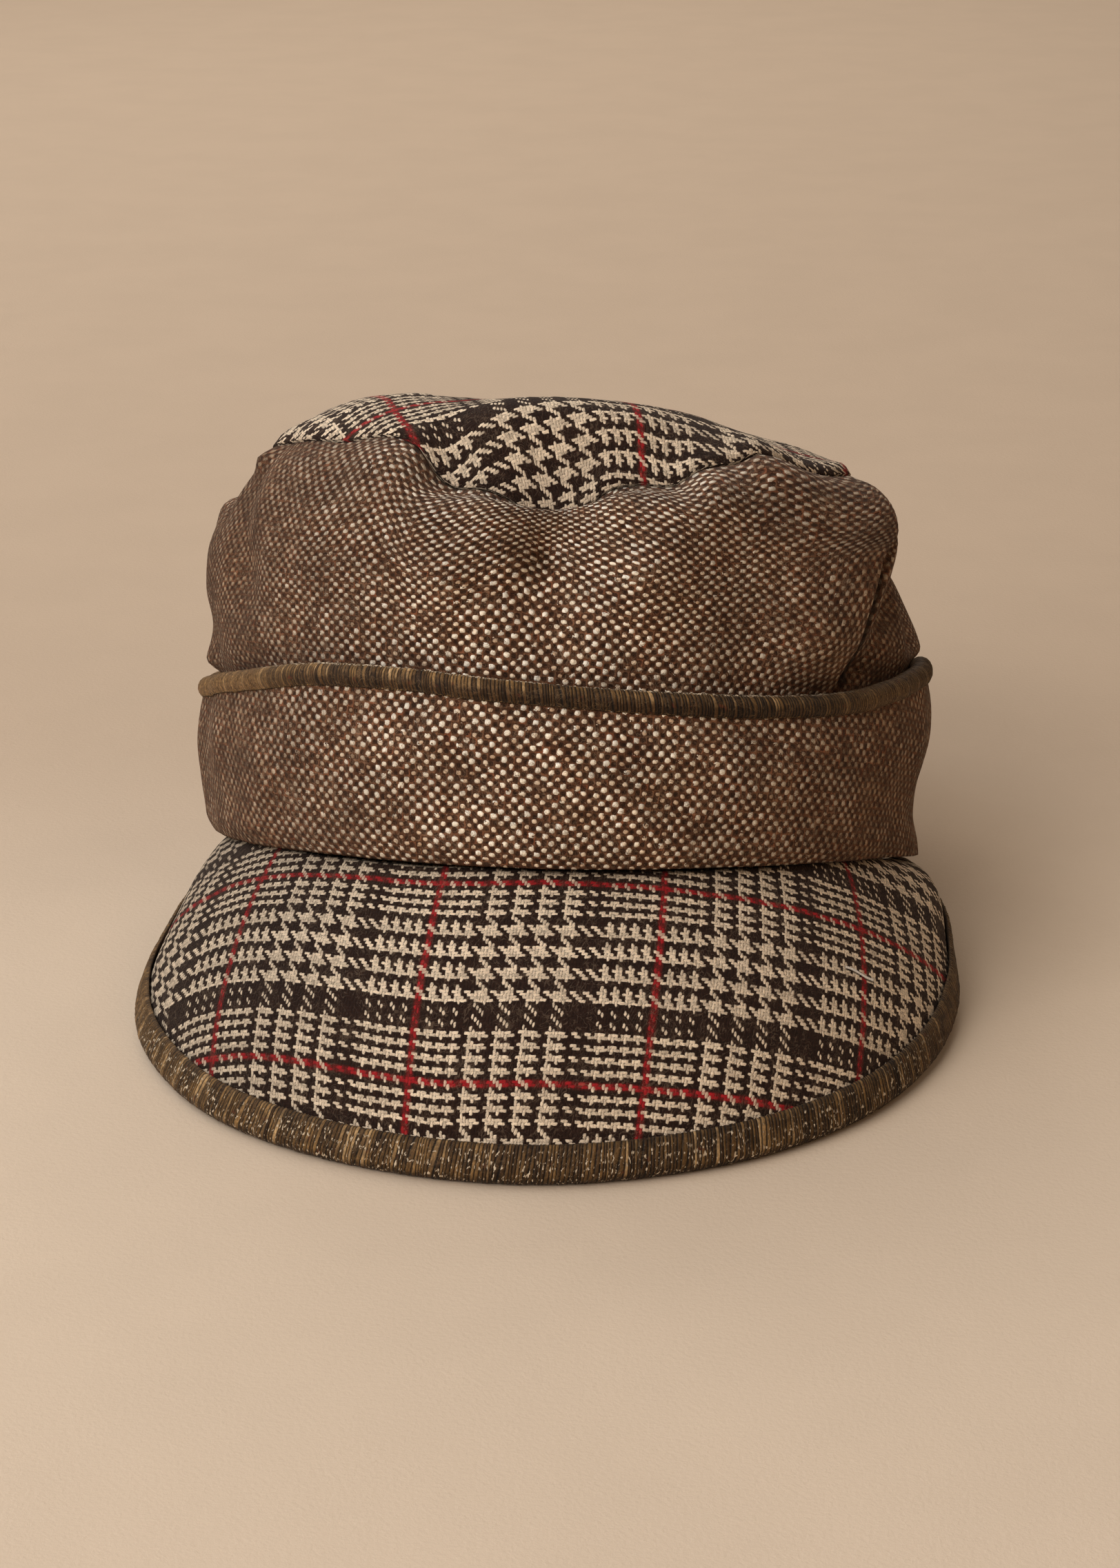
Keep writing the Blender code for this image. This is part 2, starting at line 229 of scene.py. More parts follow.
# How far the rim sags below its plane, and tucks in: the cap has slumped a little to one side
RIM_ROWS = (
    # angle, sag, tuck
    (-180, 0, 0),
    (-85, 0, 0.5),
    (-45, 0, 0),
    (0, 1, 0),
    (30, 0.9, 0.2),
    (48, 1.2, 0.7),
    (66, 2.2, 2),
    (88, 4, 4),
    (120, 2, 1),
)

# The peak's edge, standing: places by section from one end to the other, before HEAD_CENTRE is added
PEAK_EDGE_ROWS = (
    # share, x, y, z
    (0.0, -85.5, -3.0, 21.0),
    (0.06, -91.0, -18.0, 14.5),
    (0.12, -97.0, -38.0, 9.0),
    (0.18, -101.0, -62.0, 5.0),
    (0.25, -93.9, -90.4, 3.6),
    (0.33, -73.2, -119.3, 3.4),
    (0.41, -40.0, -138.2, 3.4),
    (0.5, 0.5, -144.5, 3.4),
    (0.59, 40.0, -134.5, 3.4),
    (0.67, 69.4, -114.2, 3.4),
    (0.75, 88.2, -86.6, 3.6),
    (0.82, 96.9, -57.5, 5.0),
    (0.88, 96.4, -33.5, 8.0),
    (0.94, 92.8, -17.0, 12.8),
    (1.0, 87.6, -3.0, 17.0),
)

# The pleat's crease on the wearer's left, where the front of the crown laps over its back
PLEAT_ROWS = (
    # height, angle
    (30, 46),
    (41, 49),
    (50, 51.7),
    (61, 52),
    (66, 52.8),
    (72, 55),
    (78, 61),
    (90, 70),
)
PLEAT_ANGLE = 58  # the column that the crease follows
PLEAT_REACH = 22  # degrees over which the columns beside it bend with it
PLEAT_LIP = 0.1 * MM  # how far the lip stands out
PLEAT_DEPTH = 0.2 * MM  # how far the cloth behind it sinks
PLEAT_GROOVE = 2.0 * MM  # and how much further right beside it
PLEAT_GAPS = (2.2 * MM, 5.28 * MM)  # where that groove starts to rise again, and where it ends
PLEAT_TURN = (-0.3 * MM, 0.5 * MM)  # from the lip to the cloth behind it
PLEAT_LIP_WIDTH = 7 * MM
PLEAT_SINK_WIDTH = 9 * MM
PLEAT_FAR = 30 * MM  # from the crease, beyond which the pleat moves nothing
PLEAT_STARTS = (30 * MM, 40 * MM)  # heights between which the pleat grows
PLEAT_ENDS = (68 * MM, 80 * MM)  # and those between which it dies out

# Soft folds of the cuff: shallow valleys (negative) and swells (positive) that run up it
CUFF_FOLD_ROWS = (
    # name, angle, half width, size at the foot, size at the lip
    ("left_valley", -74, 6, -0.6, -2.0),
    ("left_gap", -59, 9, 0.0, -1.6),
    ("left_rear_swell", -92, 9, 0.8, 1.2),
    ("right_valley", 66, 7, -1.2, -0.4),
    ("right_flare", 90, 18, 1.6, -2.2),
    ("left_flare", -90, 18, 1.6, -1.6),
    ("front_swell", 8, 20, 0.5, 0.2),
)

# Unevenness of the cloth: length and height of its waves
CROWN_CRUMPLES = (
    # length, height
    (26, 1.5),
    (10, 0.55),
)
TIP_CRUMPLES = (
    # length, height
    (24, 1.0),
    (9, 0.4),
)
CUFF_CRUMPLES = (
    # length, height
    (22, 1.2),
    (9, 0.4),
)
PEAK_CRUMPLES = (
    # length, height
    (26, 0.7),
    (9, 0.2),
)

# ---------------------------------------------------------------- shape of the cap


def smooth_step(low, high, value):
    """0 below low, 1 above high, and an even curve between them."""
    share = min(max((value - low) / (high - low), 0.0), 1.0)
    return share * share * (3 - 2 * share)


def through(rows, place, period=None):
    """A table's values at a place, on smooth curves through its rows, for every column after the first."""
    places = [row[0] for row in rows]
    count = len(rows)
    if period:
        place = (place - places[0]) % period + places[0]
    index = max([i for i in range(count) if places[i] <= place + 1e-12], default=0)

    def row(i):
        if period:
            turns, wrapped = divmod(i, count)
            return (rows[wrapped][0] + turns * period, *rows[wrapped][1:])
        return rows[min(max(i, 0), count - 1)]

    before, here, after, beyond = (row(index + step) for step in (-1, 0, 1, 2))
    span = after[0] - here[0]
    if span <= 0:
        return here[1:]
    share = (place - here[0]) / span
    found = []
    for last, start, end, following in zip(before[1:], here[1:], after[1:], beyond[1:]):
        slope_in = (end - last) / max(after[0] - before[0], 1e-9) * span
        slope_out = (following - start) / max(beyond[0] - here[0], 1e-9) * span
        found.append(
            start * (1 + 2 * share) * (1 - share) ** 2
            + slope_in * share * (1 - share) ** 2
            + end * share * share * (3 - 2 * share)
            + slope_out * share * share * (share - 1)
        )
    return tuple(found)


@lru_cache(maxsize=None)
def by_angle(rows, angle, column=0):
    """A table's value in metres at an angle in radians from the front."""
    return through(rows, math.degrees(angle), 360)[column] * MM


@lru_cache(maxsize=None)
def side_offset(reach):
    """How far the crown's side stands outside the head opening's oval."""
    return through(SIDE_ROWS, reach)[0] * MM


def outwards(angle):
    """The level direction away from the middle of the cap at an angle from the front."""
    return Vector((math.sin(angle), -math.cos(angle), 0))


def outline(angle, offset):
    """A point of the head opening's oval in the cap's frame, moved outwards by offset."""
    x, y = math.sin(angle), -math.cos(angle)
    out = Vector((x / RIM_HALF_WIDTH, y / RIM_HALF_DEPTH, 0)).normalized()
    return Vector((RIM_HALF_WIDTH * x, RIM_HALF_DEPTH * y, 0)) + out * offset


def rim_normal(angle):
    """The level direction square to the head opening's oval."""
    return (outline(angle, MM) - outline(angle, 0)).normalized()


def slump(angle, height):
    """(how far down, how far in) the slumped side hangs at a height above the rim."""
    sag = by_angle(RIM_ROWS, angle) * (1 - smooth_step(0, SLUMP_HEIGHT, height))
    tuck = by_angle(RIM_ROWS, angle, 1) * math.exp(-(((height - TUCK_HEIGHT) / TUCK_HALF_HEIGHT) ** 2))
    return sag, tuck


def smooth_skin(angle, reach):
    """The crown before its folds. reach is 0 at the rim, 1 at the seam of the tip and 2 at its centre."""
    seam = by_angle(SEAM_ROWS, angle)
    if reach <= 1:
        height = reach * seam
        sag, tuck = slump(angle, height)
        return outline(angle, side_offset(reach) - tuck) + Vector((0, 0, height - sag))
    ring = 2 - reach
    edge = outline(angle, SIDE_ROWS[-1][1] * MM) * ring
    rise = (TIP_CENTRE_HEIGHT - seam) * (1 - ring**TIP_ROUNDNESS)
    return edge + Vector((0, 0, seam + rise))


def fold_ends(row):
    """The two ends of a fold's line in the cap's frame."""
    for angle, height, inset in (row[1:4], row[4:7]):
        yield outline(math.radians(angle), -inset * MM) + Vector((0, 0, height * MM))


FOLDS = [(*fold_ends(row), *(size * MM for size in row[7:])) for row in FOLD_ROWS]


def crumple(point, waves):
    """How far the cloth's soft unevenness moves it at a point."""
    return sum(noise.noise(point / (size * MM)) * (height * MM) for size, height in waves)


@lru_cache(maxsize=None)
def seam_point(angle):
    """The seam of the tip before the folds."""
    return smooth_skin(angle, 1)


def skin(angle, reach):
    """The crown's outer face with its folds, in the cap's frame."""
    point = smooth_skin(angle, reach)
    cuff_top = by_angle(CUFF_ROWS, angle)
    free = smooth_step(cuff_top + FOLD_START, cuff_top + FOLD_FULL, point.z)
    if not free:
        return point
    out = outwards(angle)
    moved = point.copy()
    inside = (reach - 1) * RIM_HALF_WIDTH
    for start, end, width, tip_width, push, lift in FOLDS:
        dragged = tip_width and reach > 1
        spot = seam_point(angle) if dragged else point
        line = end - start
        share = (spot - start).dot(line) / max(line.length_squared, 1e-12)
        near = start + line * min(max(share, 0.0), 1.0)
        strength = math.exp(-(((spot - near).length / width) ** 2))
        if dragged:
            strength *= math.exp(-((inside / tip_width) ** 2))
        moved += (out * push + Vector((0, 0, lift))) * strength * free
    beside = inside / TIP_PULL_WIDTH if reach > 1 else inside / SEAM_PULL_WIDTH
    moved.z += by_angle(SEAM_PULL_ROWS, angle) * math.exp(-beside * beside)
    return moved


def pleat_column(angle, height):
    """The angle of a column at a height, bent to run along the pleat's crease."""
    lowest, highest = PLEAT_ROWS[0][0], PLEAT_ROWS[-1][0]
    crease = through(PLEAT_ROWS, min(max(height / MM, lowest), highest))[0]
    beside = (math.degrees(angle) - PLEAT_ANGLE) / PLEAT_REACH
    return angle + math.radians(crease - PLEAT_ANGLE) * math.exp(-beside * beside)


def pleat_move(column, height):
    """How far the pleat moves the cloth outwards beside its crease."""
    away = (math.degrees(column) - PLEAT_ANGLE) * RIM_HALF_WIDTH * math.radians(1)
    if abs(away) > PLEAT_FAR:
        return 0.0
    strength = smooth_step(*PLEAT_STARTS, height) * (1 - smooth_step(*PLEAT_ENDS, height))
    behind = smooth_step(*PLEAT_TURN, away)
    lip = PLEAT_LIP * math.exp(-((max(-away, 0) / PLEAT_LIP_WIDTH) ** 2)) * (1 - behind)
    sink = PLEAT_DEPTH * math.exp(-((max(away, 0) / PLEAT_SINK_WIDTH) ** 2))
    sink = -(sink + PLEAT_GROOVE * (1 - smooth_step(*PLEAT_GAPS, away))) * behind
    return (lip + sink) * strength


def cuff_face(angle, share, offset):
    """A point of the cuff: share is 0 at the rim and 1 at its upper edge, offset is from its inner face."""
    height = share * by_angle(CUFF_ROWS, angle)
    lifted = smooth_step(0, CUFF_LIP_SHARE, share)
    stand_off = CUFF_FOOT_OFFSET + (CUFF_LIP_OFFSET - CUFF_FOOT_OFFSET) * lifted
    swell = CUFF_SWELL * math.sin(math.pi * min(share, 1))
    sag, tuck = slump(angle, height)
    point = outline(angle, CUFF_STAND_OFF + stand_off + swell + offset - tuck)
    return point + Vector((0, 0, height - sag))


def cuff_fold(angle, share):
    """How far the cuff's soft folds move it outwards."""
    moved = 0.0
    for _, middle, half_width, foot, lip in CUFF_FOLD_ROWS:
        away = (math.degrees(angle) - middle + 180) % 360 - 180
        moved += (foot + (lip - foot) * share) * MM * math.exp(-((away / half_width) ** 2))
    return moved


def stand(point):
    """Leans the cap back and lets the nape flatten on the surface."""
    x, v, w = point
    y = v * math.cos(LEAN) + w * math.sin(LEAN)
    z = w * math.cos(LEAN) - v * math.sin(LEAN) + RIM_HALF_DEPTH * math.sin(LEAN) - NAPE_SINK
    if z < SOFT_ZONE:
        z = max(z + SOFT_ZONE, 0.0) ** 2 / (4 * SOFT_ZONE)
    return Vector((x, y, z)) + HEAD_CENTRE


def columns(count, extra=()):
    """Angles of the columns from one side of the nape round to the other, closer at the front."""
    angles = []
    for index in range(count + 1):
        even = 2 * math.pi * index / count - math.pi
        angles.append(even - FRONT_DENSITY * math.sin(even))
    return sorted({*angles, *extra})


@lru_cache(maxsize=None)
def peak_line(share):
    """(place on the seam, place on the edge, outward direction) of one section of the peak, standing."""
    angle = math.radians((2 * share - 1) * PEAK_END_ANGLE)
    seam = cuff_face(angle, 0, 0)
    out = rim_normal(angle)
    seam = stand(seam - out * PEAK_SEAM_INSET - Vector((0, 0, PEAK_SEAM_DROP)))
    edge = Vector(through(PEAK_EDGE_ROWS, share)) * MM + HEAD_CENTRE
    return seam, edge, out


def peak_point(share, step):
    """The peak's upper face: step is 0 at the seam and 1 at the edge."""
    seam, edge, out = peak_line(share)
    chord = edge - seam
    lift = Vector((out.x, out.y * math.cos(LEAN), PEAK_BOW_RISE)).normalized()
    to_end = 1 - smooth_step(*PEAK_ENDS, min(share, 1 - share))
    bow = lift * min(PEAK_CROWN, chord.length * (PEAK_BOW + PEAK_END_BULGES[share > 0.5] * to_end))
    return seam + chord * step + bow * 4 * step * (1 - step)


def peak_frame(share, step, width=0.02):
    """(outwards along the peak, square to its face) at a point of the upper face."""
    left, right = max(share - width, 0.0), min(share + width, 1.0)
    inner, outer = max(step - width, 0.0), min(step + width, 1.0)
    across = peak_point(right, step) - peak_point(left, step)
    along = (peak_point(share, outer) - peak_point(share, inner)).normalized()
    normal = along.cross(across).normalized()
    return along, normal


def peak_place(share, back, rise):
    """A point near the peak's edge: back is measured inwards from it and rise above the upper face."""
    if back <= 0:
        along, normal = peak_frame(share, 1.0)
        return peak_point(share, 1.0) - along * back + normal * rise
    seam, edge, _ = peak_line(share)
    step = 1 - back / (edge - seam).length
    return peak_point(share, step) + peak_frame(share, step)[1] * rise


def peak_shares(count):
    """The peak's sections, which stop just short of the ends of its tables."""
    between = 1 - 2 * PEAK_END_MARGIN
    return [PEAK_END_MARGIN + between * index / (count - 1) for index in range(count)]


# ---------------------------------------------------------------- meshes

CLOTH_MAP = "cloth"  # the map that every piece's material reads


def loft(name, rings, material, closed):
    """A solid through rings of (place, map) pairs: closed joins the last ring to the first."""
    loops = rings + rings[:1] if closed else rings
    width = len(rings[0])
    bm = bmesh.new()
    bmesh.ops.create_grid(bm, x_segments=width - 1, y_segments=len(loops) - 1, size=1)
    spots = [spot for loop in loops for spot in loop]
    bm.verts.index_update()
    for vert, (place, _) in zip(bm.verts, spots):
        vert.co = place
    layer = bm.loops.layers.uv.new(CLOTH_MAP)
    for face in bm.faces:
        for corner in face.loops:
            corner[layer].uv = spots[corner.vert.index][1]
    bmesh.ops.remove_doubles(bm, verts=bm.verts[:], dist=1e-6)
    bmesh.ops.holes_fill(bm, edges=[edge for edge in bm.edges if edge.is_boundary], sides=0)
    bmesh.ops.recalc_face_normals(bm, faces=bm.faces[:])
    mesh = bpy.data.meshes.new(name)
    bm.to_mesh(mesh)
    bm.free()
    mesh.shade_smooth()
    mesh.materials.append(material)
    piece = bpy.data.objects.new(name, mesh)
    bpy.context.scene.collection.objects.link(piece)
    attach(piece, "root")
    return piece


def grid_normals(grid):
    """The outward direction at each point of a grid of rings."""
    found = []
    last_row, last_column = len(grid) - 1, len(grid[0]) - 1
    for i, ring in enumerate(grid):
        below, above = grid[max(i - 1, 0)], grid[min(i + 1, last_row)]
        row = []
        for j in range(len(ring)):
            left, right = max(j - 1, 0), min(j + 1, last_column)
            row.append((ring[right] - ring[left]).cross(above[j] - below[j]).normalized())
        found.append(row)
    return found


def arc_lengths(points):
    """Distance along a row of points, in millimetres, from its first point."""
    lengths = [0.0]
    for last, point in zip(points, points[1:]):
        lengths.append(lengths[-1] + (point - last).length / MM)
    return lengths


def wall(outer, normals, thickness, inner_rows):
    """The inner face of a wall: chosen rows of its outer face moved in by its thickness."""
    found = []
    for row in inner_rows:
        found.append([point - normal * thickness for point, normal in zip(outer[row], normals[row])])
    return found


# ---------------------------------------------------------------- node helpers


class Graph:
    """Adds nodes to a node tree. An input may be given as a socket or as a plain value."""

    def __init__(self, tree):
        self.tree = tree

    def node_in(self):
        """The node that gives a group's inputs."""
        return self.tree.nodes.new("NodeGroupInput").outputs

    def node_out(self):
        """The node that takes a group's outputs."""
        return self.tree.nodes.new("NodeGroupOutput").inputs

    def node(self, kind, inputs=(), **settings):
        """A new shader node, with its inputs by number or by name."""
        node = self.tree.nodes.new("ShaderNode" + kind)
        for key, value in settings.items():
            setattr(node, key, value)
        items = inputs.items() if isinstance(inputs, dict) else enumerate(inputs)
        for key, value in items:
            self.feed(node.inputs[key], value)
        return node

    def feed(self, socket, value):
        """Links a socket to another, or sets its plain value."""
        if isinstance(value, bpy.types.NodeSocket):
            self.tree.links.new(value, socket)
        elif value is not None:
            socket.default_value = value

    def math(self, operation, a, b=None, c=None, clamp=False):
        return self.node("Math", (a, b, c), operation=operation, use_clamp=clamp).outputs[0]

    def vector(self, operation, a, b=None, scale=None):
        """A vector operation, whose output is a value where the operation gives one."""
        node = self.node("VectorMath", (a, b), operation=operation)
        if scale is not None:
            self.feed(node.inputs["Scale"], scale)
        value_out = operation in ("LENGTH", "DOT_PRODUCT", "DISTANCE")
        return node.outputs["Value" if value_out else "Vector"]

    def split(self, vector):
        node = self.node("SeparateXYZ", (vector,))
        return node.outputs[0], node.outputs[1], node.outputs[2]

    def join(self, x, y, z=0.0):
        return self.node("CombineXYZ", (x, y, z)).outputs[0]

    def span(self, value, low, high, to_low=0.0, to_high=1.0, smooth=True):
        """Maps low..high to to_low..to_high, held beyond both ends."""
        kind = "SMOOTHSTEP" if smooth else "LINEAR"
        node = self.node("MapRange", interpolation_type=kind, clamp=True)
        for socket, given in zip(node.inputs, (value, low, high, to_low, to_high)):
            self.feed(socket, given)
        return node.outputs[0]

    def mix(self, share, a, b, blend="MIX"):
        """Mixes two colours, through the colour sockets of a node that also mixes values and vectors."""
        node = self.node("Mix", data_type="RGBA", blend_type=blend, clamp_factor=True)
        self.feed(node.inputs[0], share)
        self.feed(node.inputs[6], a)
        self.feed(node.inputs[7], b)
        return node.outputs[2]

    def shade(self, colour, share):
        """A colour made darker, or lighter where share is over 1."""
        return self.mix(1.0, colour, self.join(share, share, share), "MULTIPLY")

    def lay(self, colour, mask, strength, tone):
        """Lays a tone over a colour, as far as a mask and its strength say."""
        return self.mix(self.math("MULTIPLY", mask, strength), colour, (*tone, 1))

    def turn(self, vector, angle):
        """A vector turned about Z."""
        inputs = {"Vector": vector, "Angle": angle}
        return self.node("VectorRotate", inputs, rotation_type="Z_AXIS").outputs[0]

    def noise(self, vector, size, detail=2.0, roughness=0.5, distortion=0.0, output=0):
        """Noise whose features are about size across, in the vector's own unit."""
        inputs = {"Vector": vector, "Detail": detail, "Roughness": roughness, "Distortion": distortion}
        node = self.node("TexNoise", {**inputs, "Scale": 1 / size}, noise_dimensions="3D")
        return node.outputs[output]

    def random(self, vector):
        """(value, colour) that is the same all over one cell."""
        node = self.node("TexWhiteNoise", {"Vector": vector}, noise_dimensions="3D")
        return node.outputs["Value"], node.outputs["Color"]

    def ramp(self, share, stops, constant=False):
        """A colour by share, through stops of (place, colour)."""
        node = self.node("ValToRGB", (share,))
        ramp = node.color_ramp
        ramp.interpolation = "CONSTANT" if constant else "LINEAR"
        while len(ramp.elements) < len(stops):
            ramp.elements.new(1.0)
        for element, (place, _) in zip(ramp.elements, stops):
            element.position = place
        for element, (_, colour) in zip(ramp.elements, stops):
            element.color = (*colour, 1)
        return node.outputs[0]


def node_group(name, inputs, outputs):
    """(graph, inputs, outputs) of a new node group, from rows of (name, kind, default) and (name, kind)."""
    tree = bpy.data.node_groups.new(name, "ShaderNodeTree")
    for label, kind, default in inputs:
        socket = tree.interface.new_socket(name=label, in_out="INPUT", socket_type="NodeSocket" + kind)
        if default is not None:
            socket.default_value = default
    for label, kind in outputs:
        tree.interface.new_socket(name=label, in_out="OUTPUT", socket_type="NodeSocket" + kind)
    graph = Graph(tree)
    return graph, graph.node_in(), graph.node_out()


def use_group(graph, name, **inputs):
    """Places a node group, with its inputs by name, and returns its outputs."""
    node = graph.tree.nodes.new("ShaderNodeGroup")
    node.node_tree = bpy.data.node_groups[name]
    for key, value in inputs.items():
        graph.feed(node.inputs[key.replace("_", " ").capitalize()], value)
    return node.outputs


def cloth_map(graph):
    """The place on a piece's own cloth map, in millimetres."""
    return graph.node("UVMap", uv_map=CLOTH_MAP).outputs[0]


def srgb(red, green, blue):
    """A colour as a screen shows it, 0 to 255, in the linear values that the shader takes."""
    values = []
    for value in (red / 255, green / 255, blue / 255):
        values.append(value / 12.92 if value <= 0.04045 else ((value + 0.055) / 1.055) ** 2.4)
    return tuple(values)


# ---------------------------------------------------------------- shared effects

FUZZ_LAYERS = (
    # angle in radians, how many times longer than wide the curls are
    (0.6, 2.2),
    (2.1, 1.7),
    (1.3, 2.6),
)
FUZZ_APART = 7.3  # between the layers, so that each has curls of its own
MIDDLE = (0.5, 0.5, 0.5)  # of a cell, and of a random or noise colour

# The check's order of yarns over one repeat, as how many lie side by side in which colour
SETT = ((2, "red"),) + ((2, "dark"), (2, "pale")) * 3 + ((4, "dark"), (4, "pale")) * 4
SETT += ((10, "dark"),) + ((2, "pale"), (2, "dark")) * 4
SETT_YARNS = float(sum(count for count, _ in SETT))


def make_wool_fuzz():
    """Fine curly fibres that lie over a cloth, in three layers that run different ways: a mask."""
    graph, given, out = node_group(
        "Wool fuzz",
        (("Vector", "Vector", None), ("Size", "Float", 1.0), ("Thickness", "Float", 0.02)),
        (("Mask", "Float"),),
    )
    place = graph.vector("SCALE", given["Vector"], scale=graph.math("DIVIDE", 1.0, given["Size"]))
    total = 0.0
    for layer, (angle, stretch) in enumerate(FUZZ_LAYERS):
        x, y, _ = graph.split(graph.turn(place, angle))
        stretched = graph.join(graph.math("DIVIDE", x, stretch), y, FUZZ_APART * layer)
        field = graph.noise(stretched, 1.0, 1.0, 0.4, 0.9)
        edge = graph.math("ABSOLUTE", graph.math("SUBTRACT", field, 0.5))
        line = graph.math("SUBTRACT", 1.0, graph.span(edge, 0.0, given["Thickness"]))
        patch = graph.span(graph.noise(stretched, 2.7, 1.0), 0.47, 0.6)
        total = graph.math("MAXIMUM", graph.math("MULTIPLY", line, patch), total)
    graph.feed(out["Mask"], total)


def make_wander():
    """Lets straight yarns wander: a cloth map moved by soft noise."""
    graph, given, out = node_group(
        "Yarn wander",
        (("Vector", "Vector", None), ("Size", "Float", 5.0), ("Amount", "Float", 0.3)),
        (("Vector", "Vector"),),
    )
    place = graph.vector("SCALE", given["Vector"], scale=graph.math("DIVIDE", 1.0, given["Size"]))
    pull = graph.vector("SUBTRACT", graph.noise(place, 1.0, 2.0, 0.6, output=1), MIDDLE)
    moved = graph.vector("ADD", given["Vector"], graph.vector("SCALE", pull, scale=given["Amount"]))
    graph.feed(out["Vector"], moved)


def make_birds_eye():
    """Bird's-eye weave: a board of raised dots and of hollows, with the ground yarns between them."""
    graph, given, out = node_group(
        "Birds-eye weave",
        (("Vector", "Vector", None), ("Cell", "Float", 1.54)),
        (("Dot", "Float"), ("Hollow", "Float"), ("Height", "Float"), ("Chance", "Float"), ("Tint", "Color")),
    )
    cells = graph.vector("SCALE", given["Vector"], scale=graph.math("DIVIDE", 1.0, given["Cell"]))
    index = graph.vector("FLOOR", cells)
    chance, tint = graph.random(index)
    shift = graph.vector("SCALE", graph.vector("SUBTRACT", tint, MIDDLE), scale=0.3)
    inside = graph.vector("SUBTRACT", graph.vector("FRACTION", cells), MIDDLE)
    x, y, _ = graph.split(graph.vector("ADD", inside, shift))
    column, row, _ = graph.split(index)
    odd = graph.math("FLOORED_MODULO", graph.math("ADD", column, row), 2.0)
    odd = graph.math("GREATER_THAN", odd, 0.5)
    even = graph.math("SUBTRACT", 1.0, odd)

    def blob(half_wide, half_tall):
        """A rounded square, highest at its middle and 0 at its edge, larger in some cells than in others."""
        grow = graph.math("MULTIPLY_ADD", chance, 0.62, 0.64)
        fall = []
        for away, half in ((x, half_wide), (y, half_tall)):
            part = graph.math("ABSOLUTE", graph.math("DIVIDE", away, half))
            fall.append(graph.math("POWER", part, 2.2))
        return graph.math("SUBTRACT", grow, graph.math("ADD", *fall))

    dot = blob(0.49, 0.42)
    hollow = blob(0.50, 0.50)
    graph.feed(out["Dot"], graph.math("MULTIPLY", graph.span(dot, -0.08, 0.42), even))
    graph.feed(out["Hollow"], graph.math("MULTIPLY", graph.span(hollow, -0.15, 0.75), odd))
    dome = graph.math("MULTIPLY", graph.math("MAXIMUM", dot, 0.0), even)
    sunk = graph.math("MULTIPLY", graph.math("MAXIMUM", hollow, 0.0), odd)
    graph.feed(out["Height"], graph.math("SUBTRACT", dome, graph.math("MULTIPLY", sunk, 0.6)))
    graph.feed(out["Chance"], chance)
    graph.feed(out["Tint"], tint)


def widest_dark():
    """(yarns, middle) of the sett's widest dark stripe."""
    counts = [count for count, _ in SETT]
    index = counts.index(max(counts))
    return counts[index], sum(counts[:index]) + counts[index] / 2


def make_sett(colours):
    """The colour of a yarn by its number: the order of yarns that makes a glen check."""
    graph, given, out = node_group("Sett", (("Yarn", "Float", 0.0),), (("Color", "Color"),))
    stops, laid = [], 0
    for count, name in SETT:
        stops.append((laid / SETT_YARNS, colours[name]))
        laid += count
    place = graph.math("FLOORED_MODULO", graph.math("ADD", given["Yarn"], 0.5), SETT_YARNS)
    share = graph.math("DIVIDE", place, SETT_YARNS)
    graph.feed(out["Color"], graph.ramp(share, stops, constant=True))


